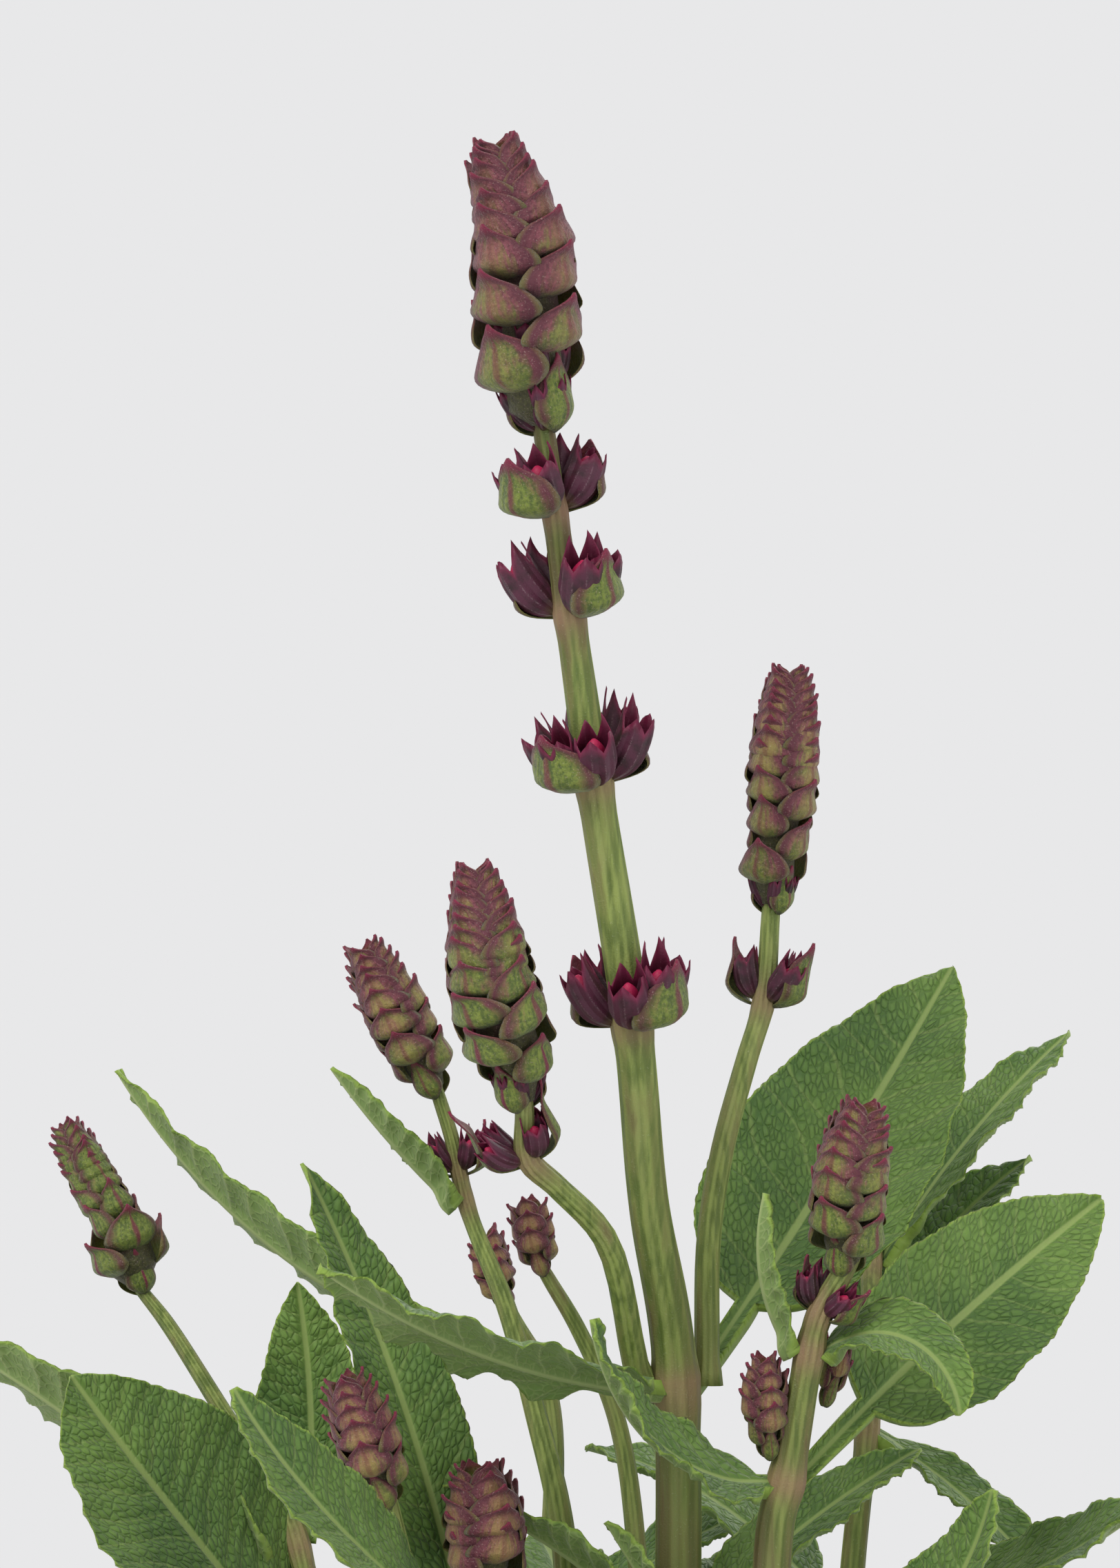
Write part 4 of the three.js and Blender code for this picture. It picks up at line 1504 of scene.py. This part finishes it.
@dataclass(frozen=True)
class Whorl:
    """A pair of bracts on opposite sides of a stem, with calyxes in their crooks."""

    name: str
    stem: str
    height: float
    heading: float
    bract_length: float
    bract_half_angle: float
    reach: float
    calyx_length: float
    calyx_radius: float
    calyxes: int = 3
    pinch: float = 0.14
    age: float = 0.0
    rise: float = 42.0
    flick: float = 0.5
    spread: float = 52.0

    def shells(self, route: Route, base: float, draw: np.random.Generator) -> Pair:
        """The bracts' shells and the calyxes' shells, with their buds.

        Args:
            route: The stem's line.
            base: Height that the whorl's own height starts from.
            draw: Where small differences come from.

        Returns:
            Shells of bracts, and shells of calyxes and buds.
        """
        foot, axis, radius = route.crossing(base + self.height)
        across, forward = across_and_forward(axis)
        bracts, cups = [], []
        for half in range(2):
            heading = self.heading + 180 * half
            turn = math.radians(heading)
            out = across * math.cos(turn) + forward * math.sin(turn)
            scale = 1 + 0.1 * (draw.random() - 0.5)
            bract = Bract(
                self.bract_length * scale, self.bract_half_angle, radius * 0.8, self.reach,
                self.age, self.pinch, flick=self.flick,
            )
            bracts.append(bract.shell(foot - axis * 0.3, axis, out, draw.random()))
            for place in range(self.calyxes):
                aside = (place - (self.calyxes - 1) / 2) * self.spread
                turn = math.radians(heading + aside + 8 * (draw.random() - 0.5))
                out = across * math.cos(turn) + forward * math.sin(turn)
                size = self.calyx_length * (1 + 0.18 * (draw.random() - 0.5))
                cup = Calyx(size, self.calyx_radius, self.rise + 12 * (draw.random() - 0.5))
                start = foot + out * radius * 0.75 + axis * 0.15
                tone = draw.random()
                cups.append(cup.shell(start, axis, out, tone))
                cups.append(cup.bud(start, axis, out, tone))
        return bracts, cups


@dataclass(frozen=True)
class Spike:
    """A closed spike: pairs of bracts in four ranks, closer and smaller towards the tip."""

    name: str
    route: Route
    heading: float
    gap: float
    shrink: float
    bract_length: float
    tip_length: float
    open_pairs: int = 0
    youngest: float = 0.15
    oldest: float = 1.0
    mellow: float = 1.0
    crown: float = 1.1
    least_gap: float = 0.42
    bract_half_angle: float = 1.02
    core_girth: float = 0.6
    core_top: float = 0.93
    calyx_headings: tuple[float, ...] = (-46.0, 0.0, 46.0)

    def pairs(self) -> list[float]:
        """Heights of the pairs.

        Each gap is the one before it times shrink, and none is under the least gap.

        Returns:
            The heights, from the lowest.
        """
        low, high = self.route.points[0][2], self.route.points[-1][2]
        heights, up, gap = [], low - 0.7, self.gap
        while up < high - self.crown:
            heights.append(up)
            up += gap
            gap = max(gap * self.shrink, self.least_gap)
        return heights

    def core(self) -> Shell:
        """The spike's body behind its bracts: three fifths of its radius, drawn to a point.

        Returns:
            The closed shell.
        """
        share = np.linspace(0, self.core_top, 18)
        places, directions, radii = self.route.at(share)
        across, forward = across_and_forward(directions)
        angle = np.linspace(0, TURN, 14, endpoint=False)[None, :]
        slimmed = 1 - 0.75 * ease(share, 0.6, self.core_top)
        reach = (radii * self.core_girth * slimmed)[:, None]
        rings = (
            places[:, None] + across[:, None] * (reach * np.cos(angle))[..., None]
            + forward[:, None] * (reach * np.sin(angle))[..., None]
        )
        flat = 0 * reach + 0 * angle
        # the core takes the bracts' painted foot shade, so it shows dark between the scales
        scale = np.stack([flat + 0.03, flat + 0.5, flat + share[:, None]], axis=-1)
        skin = np.stack([flat, flat + 0.5, flat], axis=-1)
        return tube(rings, scale=scale, skin=skin)

    def shells(self, draw: np.random.Generator) -> Pair:
        """The spike's scales and cups.

        Args:
            draw: Where small differences come from.

        Returns:
            Shells of the core and the bracts, and of the calyxes that show low on the spike.
        """
        low, high = self.route.points[0][2], self.route.points[-1][2]
        bracts, cups = [self.core()], []
        for number, up in enumerate(self.pairs()):
            share = (up - low) / (high - low)
            passed = low + min(max(share, 0.02), 0.97) * (high - low)
            foot, axis, _ = self.route.crossing(passed)
            foot = foot + axis * (up - passed)
            wide = self.route.crossing(min(up + 0.22 * self.bract_length, high))[2]
            across, forward = across_and_forward(axis)
            length = self.bract_length + (self.tip_length - self.bract_length) * share
            length = min(length, high - up + 0.5)
            age = self.youngest + (self.oldest - self.youngest) * max(share, 0) ** 0.7
            for half in range(2):
                heading = self.heading + 90 * number + 180 * half + 7 * (draw.random() - 0.5)
                turn = math.radians(heading)
                out = across * math.cos(turn) + forward * math.sin(turn)
                bract = Bract(
                    length * (1 + 0.16 * (draw.random() - 0.5)), self.bract_half_angle,
                    wide * 0.35, wide * (1 + 0.1 * (draw.random() - 0.5)), age,
                    tuck=0.16 + 0.04 * share, flick=0.24 * wide, slim=0.56, taper=0.95, steep=1.3,
                    mellow=self.mellow,
                )
                bracts.append(bract.shell(foot, axis, out, draw.random()))
                if number < self.open_pairs:
                    for aside in self.calyx_headings:
                        lean = math.radians(heading + aside)
                        out = across * math.cos(lean) + forward * math.sin(lean)
                        cup = Calyx(length * (0.95 - 0.1 * number), wide * 0.3, 46.0, 42.0)
                        start = foot + out * wide * 0.15 + axis * 0.2
                        cups.append(cup.shell(start, axis, out, draw.random()))
        return bracts, cups


# ---- The plant's own rows ---------------------------------------------------------------------

LEAVES: dict[str, Leaf] = {
    "leaf_main_left": Leaf("main", 104, -144, 6, 30, -17, 33, 12, 16, 0.06, 0.7, 0.3, 0.27),
    "leaf_main_right": Leaf("main", 103, 52, 37, 14, -11, 47, 19, 24, 0.22),
    "leaf_front_right_inner": Leaf(
        "front_right", 97, -152, 2, 78, 5, 23.5, 9, -30, 0.06, 0.45, 0.0, 0.27),
    "leaf_front_right_outer": Leaf("front_right", 97, 34, 38, -10, 0, 37.5, 14, 55, 0.24, grain=0.4),
    "bract_front_right": Leaf("front_right", 107.4, -18, 46, -130, -16, 16, 7, 25, 0.05, grain=0.3),
    "bract_front_right_inner": Leaf(
        "front_right", 107.8, -170, 54, 50, 5, 13, 4, 0, 0.05, 0.15, grain=0.3),
    "leaf_front_left_back": Leaf("front_left", 83.5, 134, 74, -10, 41, 41, 9, -35, 0.12, grain=0.4),
    "leaf_front_left_front": Leaf(
        "front_left", 84, -104, 24, 36, -78, 35, 12.5, -42, 0.06, 0.2, 0.0, 0.27),
    "leaf_far_left_low": Leaf("far_left", 72, -138, 50, 4, -50, 36, 23, -50, 0.15),
    "leaf_far_left_outer": Leaf("far_left", 79, 176, 44, -14, 0, 40, 12, 40, 0.1),
    "leaf_far_left_inner": Leaf("far_left", 84, 20, 84, 16, 0, 23, 10, 70, 0.1),
    "leaf_rear_left": Leaf("rear", 100, 154, 6, 48, 0, 49, 9, 45, 0.12),
    "bract_back_left": Leaf("back_left", 117.2, -163, 42, 12, -11, 15.5, 4.5, 20, 0.05, 0.2),
    "leaf_back_right_up": Leaf("back_right", 97.5, 77, 52, -19, -60, 30, 11, 10, 0.15),
    "leaf_back_right_top": Leaf("back_right", 109, 24, 56, -28, 20, 29, 9, 0, 0.12),
    "leaf_back_right_down": Leaf("back_right", 96, -8, -30, -22, -25, 24, 7, 10, 0.08),
    "leaf_back_right_front": Leaf("back_right", 80, -40, 14, 24, -8, 37, 11, 30, 0.15),
    "leaf_front_right_low": Leaf("front_right", 77, -14, 22, 56, 0, 27, 11, 45, 0.1),
    "leaf_low_front": Leaf("main", 62, -78, 26, -66, 10, 54, 22, 0, 0.24),
    "leaf_low_front_left": Leaf(
        "front_left", 54, -152, 28, -68, -8, 56, 18, 0, 0.24),
    "leaf_low_front_right": Leaf("front_right", 52, -26, 26, -64, 8, 55, 22, 0, 0.24),
    "leaf_low_left": Leaf("back_left", 46, 176, 32, -66, 8, 58, 22, 0, 0.26),
    "leaf_low_back_left": Leaf("far_left", 38, 138, 28, -62, 6, 48, 21, 0, 0.24),
    "leaf_low_back": Leaf("rear", 52, 88, 30, -72, -8, 46, 20, 0, 0.24),
    "leaf_low_back_right": Leaf("back_right", 56, 46, 28, -66, 6, 50, 21, 0, 0.24),
    "leaf_low_right": Leaf("back_right", 32, 2, 30, -60, -8, 52, 21, 0, 0.24),
    "leaf_base_front": Leaf("front_left", 24, -100, 26, -56, 8, 50, 21, 0, 0.28),
    "leaf_base_front_right": Leaf("front_right", 22, -62, 24, -54, -8, 50, 21, 0, 0.28),
}

# Small leaves without a node of their own, in groups that share a piece.
YOUNG_LEAVES: dict[str, list[Leaf]] = {
    "main": [
        Leaf("main", 62, 102, 34, -40, 8, 34, 15, 0, 0.2),
        Leaf("main", 34, 12, 30, -62, 8, 44, 18, 0, 0.24),
        Leaf("main", 34, -168, 32, -60, -6, 42, 17, 0, 0.24),
        Leaf("main", 84, 14, 44, -20, 10, 24, 9, 12, 0.1),
        Leaf("main", 84, -166, 46, -24, -10, 22, 8, 10, 0.1),
    ],
    "front": [
        Leaf("front_left", 54, 28, 38, -46, 8, 30, 13, 0, 0.2),
        Leaf("front_left", 24, 80, 34, -46, 0, 34, 15, 0, 0.22),
        Leaf("front_right", 52, 154, 40, -44, 0, 28, 12, 0, 0.2),
        Leaf("front_right", 22, 118, 36, -46, 0, 32, 14, 0, 0.22),
        Leaf("front_right", 77, 166, 52, 6, 10, 20, 8, 20, 0.1),
        Leaf("front_left", 70, -60, 40, -30, -10, 24, 9, 10, 0.12),
    ],
    "back": [
        Leaf("back_left", 46, -4, 38, -44, 0, 30, 13, 0, 0.2),
        Leaf("back_left", 76, 90, 40, -40, 12, 28, 10, 0, 0.14),
        Leaf("back_left", 76, -90, 46, -30, 12, 22, 8, 10, 0.14),
        Leaf("far_left", 38, -42, 34, -44, 0, 30, 13, 0, 0.2),
        Leaf("rear", 52, -92, 42, -40, 0, 26, 11, 0, 0.2),
        Leaf("rear", 76, 4, 44, -36, 14, 30, 10, 6, 0.14),
        Leaf("back_centre", 70, 60, 44, -46, 8, 34, 13, 0, 0.18),
        Leaf("back_centre", 70, -120, 46, -30, 8, 24, 9, 0, 0.18),
        Leaf("back_centre", 36, 130, 34, -60, 8, 46, 19, 0, 0.24),
        Leaf("back_right", 56, -134, 40, -40, 0, 28, 12, 0, 0.2),
        Leaf("back_right", 32, 182, 36, -44, 0, 30, 13, 0, 0.22),
        Leaf("back_right", 80, 140, 44, -38, 8, 30, 11, 0, 0.15),
        Leaf("far_left", 60, 50, 36, -50, 10, 36, 15, 0, 0.2),
    ],
}

WHORLS: list[Whorl] = [
    Whorl("whorl_main_lowest", "main", 133.6, -38, 5.6, 0.9, 5.0, 6.9, 1.6, 3),
    Whorl("whorl_main_low", "main", 153.0, -136, 5.2, 0.95, 4.9, 6.8, 1.6, 3),
    Whorl("whorl_main_middle", "main", 166.4, -38, 5.2, 0.85, 4.6, 6.7, 1.75, 2),
    Whorl("whorl_main_high", "main", 174.5, -136, 5.0, 0.95, 4.6, 6.2, 1.65, 2, age=0.05),
    Whorl("whorl_left", "left", 123.2, 8, 7.0, 0.45, 3.3, 4.4, 1.1, 2, flick=0.8),
    Whorl("whorl_right", "right", 134.2, -24, 5.4, 0.7, 3.4, 4.6, 1.2, 2),
    Whorl("whorl_back_left", "back_left", 119.6, -10, 4.0, 0.6, 2.7, 3.5, 0.95, 2),
    Whorl("whorl_front_right", "front_right", 110.8, -30, 3.8, 0.6, 2.8, 3.7, 1.0, 2),
]

# Heading of the lowest pair, first gap, shrink, lengths of the lowest and highest bract, pairs with
# calyxes, share of magenta in the lowest bract and in the highest, share of ochre, which is partly
# painted highlight.
SPIKES: dict[str, tuple[float, ...]] = {
    "main": (-38, 3.3, 0.84, 5.6, 2.9, 3, 0.1, 1.0, 0.0),
    "left": (-128, 2.3, 0.85, 4.5, 2.5, 1, -0.6, 0.75),
    "right": (-38, 2.4, 0.85, 4.2, 2.4, 1, 0.1, 0.7),
    "back_left": (-110, 1.7, 0.85, 3.8, 2.2, 0, 0.2, 0.7),
    "far_left": (-60, 2.0, 0.84, 4.2, 2.2, 0, -0.3, 0.25),
    "front_right": (-128, 1.8, 0.85, 4.0, 2.3, 0, -0.1, 0.6),
    "front_left": (-60, 1.5, 0.85, 3.9, 2.5, 0, 0.45, 1.0),
    "front_left_branch": (-100, 1.5, 0.85, 3.4, 2.2, 0, 0.3, 0.95),
    "back_right": (-60, 1.2, 0.87, 2.8, 1.8, 0, 0.4, 1.0),
    "back_centre": (-100, 1.1, 0.87, 2.6, 1.7, 0, 0.5, 1.0),
    "rear": (-60, 1.1, 0.87, 2.6, 1.7, 0, 0.5, 1.0),
}

# Side buds in the upper crooks of the front right stem: rows of x, y, height and radius.
SIDE_BUDS: dict[str, list[tuple[float, float, float, float]]] = {
    "bud_left": [
        (10.6, -13.0, 99.6, 0.9), (10.4, -13.4, 101.8, 1.8), (10.3, -13.8, 104.4, 1.8),
        (10.2, -13.9, 107.0, 0.7),
    ],
    "bud_right": [
        (15.4, -10.6, 103.4, 0.6), (15.9, -10.4, 105.0, 1.1), (16.2, -10.3, 106.6, 1.1),
        (16.4, -10.2, 108.2, 0.5),
    ],
}


class Plant:
    """The sage itself: its stems, leaves, whorls and spikes."""

    def __init__(self, soil_top: float) -> None:
        """Works out the routes of the stems above the soil.

        Args:
            soil_top: Height of the middle of the soil.
        """
        self.soil_top = soil_top
        self.stem_finish = StemFinish().made()
        self.leaf_finish = LeafFinish().made()
        self.bract_finish = BractFinish().made()
        self.calyx_finish = CalyxFinish().made()
        self.draw = np.random.default_rng(7)
        self.routes: dict[str, Route] = {}
        for name, rows in STEM_ROWS.items():
            self.routes[name] = Route.through([*self.root_of(name), *rows], soil_top)

    def root_of(self, name: str) -> list[tuple[float, float, float, float]]:
        """The first row of a branch, on its parent's side.

        Args:
            name: The stem or branch.

        Returns:
            The row, or nothing for a rooted stem.
        """
        if name not in BRANCHES:
            return []
        parent, height, heading, radius = BRANCHES[name]
        place, _, girth = self.routes[parent].crossing(self.soil_top + height)
        x, y, z = place + level(heading) * (girth * 1.06 + radius + 0.4)
        return [(x, y, z - self.soil_top, radius)]

    def stems(self) -> None:
        """Builds every stem and branch, with a node wherever something grows from it."""
        for name, route in self.routes.items():
            young = [leaf for group in YOUNG_LEAVES.values() for leaf in group]
            growths = [*LEAVES.values(), *WHORLS, *young]
            heights = sorted({growth.height for growth in growths if growth.stem == name})
            nodes = tuple(self.soil_top + height for height in heights)
            blush = BLUSHES.get(name, PLAIN_BLUSH)
            rooted = name not in BRANCHES
            Stem(name, route, nodes, rooted, self.soil_top, blush, self.stem_finish).build()

    def leaves(self) -> None:
        """Builds every leaf with a node, then the groups of small ones."""
        for number, (name, leaf) in enumerate(LEAVES.items()):
            shell = leaf.shell(self.routes[leaf.stem], self.soil_top, 1.7 * number)
            settle(as_piece(f"sage_{name}", shell, self.leaf_finish), [name])
        for number, (group, rows) in enumerate(YOUNG_LEAVES.items()):
            shells = [
                leaf.shell(self.routes[leaf.stem], self.soil_top, 60 + 20 * number + 1.3 * place)
                for place, leaf in enumerate(rows)
            ]
            piece = as_piece(f"young_leaves_{group}", joined(shells), self.leaf_finish)
            settle(piece)

    def whorls(self) -> None:
        """Builds the open whorls: calyxes in the place of each node, and bracts beside them."""
        for whorl in WHORLS:
            bracts, cups = whorl.shells(self.routes[whorl.stem], self.soil_top, self.draw)
            piece = as_piece(f"{whorl.name}_calyxes", joined(cups), self.calyx_finish)
            settle(piece, [whorl.name])
            piece = as_piece(f"{whorl.name}_bracts", joined(bracts), self.bract_finish)
            settle(piece)

    def spikes(self) -> None:
        """Builds the closed spikes, and the calyxes that show between their lowest bracts."""
        for name, row in SPIKES.items():
            route = Route.through(SPIKE_ROWS[name], self.soil_top)
            bracts, cups = Spike(name, route, *row).shells(self.draw)
            piece = as_piece(f"sage_spike_{name}", joined(bracts), self.bract_finish)
            settle(piece, [f"spike_{name}"])
            if cups:
                piece = as_piece(f"spike_{name}_calyxes", joined(cups), self.calyx_finish)
                settle(piece)

    def side_buds(self) -> None:
        """Builds the two small buds in the crooks of the front right stem."""
        for name, rows in SIDE_BUDS.items():
            route = Route.through(rows, self.soil_top)
            spike = Spike(name, route, -70, 1.3, 0.86, 3.0, 1.8, 0, 0.2, 0.9)
            bracts, _ = spike.shells(self.draw)
            settle(as_piece(name, joined(bracts), self.bract_finish))

    def build(self) -> None:
        """Builds the plant from the stems up."""
        self.stems()
        self.leaves()
        self.whorls()
        self.spikes()
        self.side_buds()


# ---- The studio --------------------------------------------------------------------------------


@dataclass(frozen=True)
class Softbox:
    """A large soft light that looks at the plant."""

    name: str
    place: tuple[float, float, float]
    power: float
    size: float
    warmth: tuple[float, float, float] = (1.0, 1.0, 1.0)


class Studio:
    """A plain pale floor, soft light from all round and the camera."""

    BACKGROUND = "#E8E8E9"
    CENTRE = (-6.0, -18.0, 251.0)
    DISTANCE = 440.0
    ELEVATION = 3.0
    VIEW_HEIGHT = 122.919  # what the lens takes in, top to bottom, at the main spike
    SENSOR = 36.0
    SURROUND = 0.75  # light from the surround, as a part of what the camera sees of it
    LIGHTS = (
        Softbox("key_light", (-0.7, -0.9, 1.5), 16.0, 0.9, (1.0, 0.99, 0.97)),
        Softbox("fill_light", (1.2, -0.7, 0.7), 4.0, 1.2),
        Softbox("rim_light", (0.5, 1.3, 1.1), 7.0, 1.0),
    )

    def floor(self) -> None:
        """A floor that is real around the pot and melts into the background far from it."""
        mesh = bpy.data.meshes.new("floor")
        reach = 12.0
        corners = [(-reach, -reach, 0), (reach, -reach, 0), (reach, reach, 0), (-reach, reach, 0)]
        mesh.from_pydata(corners, [], [(0, 1, 2, 3)])
        dress = Dress("pale_floor")
        far = dress.node(
            "ShaderNodeVectorMath", {"operation": "LENGTH"}, {0: dress.place()}, "Value"
        ).rise(0.25, 0.9)
        matt = dress.node(
            "ShaderNodeBsdfDiffuse", inputs={"Color": (0.72, 0.72, 0.725, 1)}
        )
        glow = dress.node("ShaderNodeEmission", inputs={"Color": shade(self.BACKGROUND)})
        dress.node_output(dress.node("ShaderNodeMixShader", inputs={0: far, 1: matt, 2: glow}))
        mesh.materials.append(dress.material)
        floor = bpy.data.objects.new("floor", mesh)
        bpy.context.scene.collection.objects.link(floor)

    def light(self) -> None:
        """An even pale surround and three soft lights."""
        world = bpy.data.worlds.new("surround")
        world.use_nodes = True
        tree = world.node_tree
        sky = tree.nodes["Background"]
        sky.inputs["Color"].default_value = shade(self.BACKGROUND)
        path = tree.nodes.new("ShaderNodeLightPath")
        power = tree.nodes.new("ShaderNodeMath")
        power.operation = "MULTIPLY_ADD"
        power.inputs[1].default_value = 1 - self.SURROUND
        power.inputs[2].default_value = self.SURROUND
        tree.links.new(path.outputs["Is Camera Ray"], power.inputs[0])
        tree.links.new(power.outputs[0], sky.inputs["Strength"])
        bpy.context.scene.world = world
        target = Vector((0, 0, 0.22))
        for box in self.LIGHTS:
            data = bpy.data.lights.new(box.name, "AREA")
            data.energy, data.size, data.color = box.power, box.size, box.warmth
            lamp = bpy.data.objects.new(box.name, data)
            lamp.location = box.place
            lamp.rotation_euler = (target - lamp.location).to_track_quat("-Z", "Y").to_euler()
            lamp.visible_camera = False
            bpy.context.scene.collection.objects.link(lamp)

    def camera(self) -> None:
        """A level lens close to the spikes, a few degrees above them."""
        data = bpy.data.cameras.new("camera")
        tilt = math.radians(self.ELEVATION)
        data.sensor_width = self.SENSOR
        data.lens = self.SENSOR * self.DISTANCE / self.VIEW_HEIGHT
        data.clip_start, data.clip_end = 0.02, 60.0
        camera = bpy.data.objects.new("camera", data)
        back = np.array([0.0, -math.cos(tilt), math.sin(tilt)]) * self.DISTANCE
        camera.location = (np.array(self.CENTRE) + back) * MM
        camera.rotation_euler = (TURN / 4 - tilt, 0, 0)
        bpy.context.scene.collection.objects.link(camera)
        bpy.context.scene.camera = camera

    def build(self) -> None:
        """Sets the whole studio."""
        bpy.context.scene.view_settings.view_transform = "Standard"
        self.floor()
        self.light()
        self.camera()


def main() -> None:
    """Loads the frame, reads the pot's and the soil's boxes, and dresses it."""
    logging.basicConfig(level=logging.INFO, format="%(name)s %(message)s")
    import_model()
    pot_high, soil_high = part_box("pot")[1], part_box("soil")[1]
    studio = Studio()
    studio.build()
    pot = Pot(pot_high.z / MM, pot_high.x / MM, ClayFinish().made())
    pot.build()
    crown = 2.0
    Soil(pot, soil_high.z / MM - crown, crown, SoilFinish().made()).build()
    Plant(soil_high.z / MM).build()


if __name__ == "__main__":
    main()
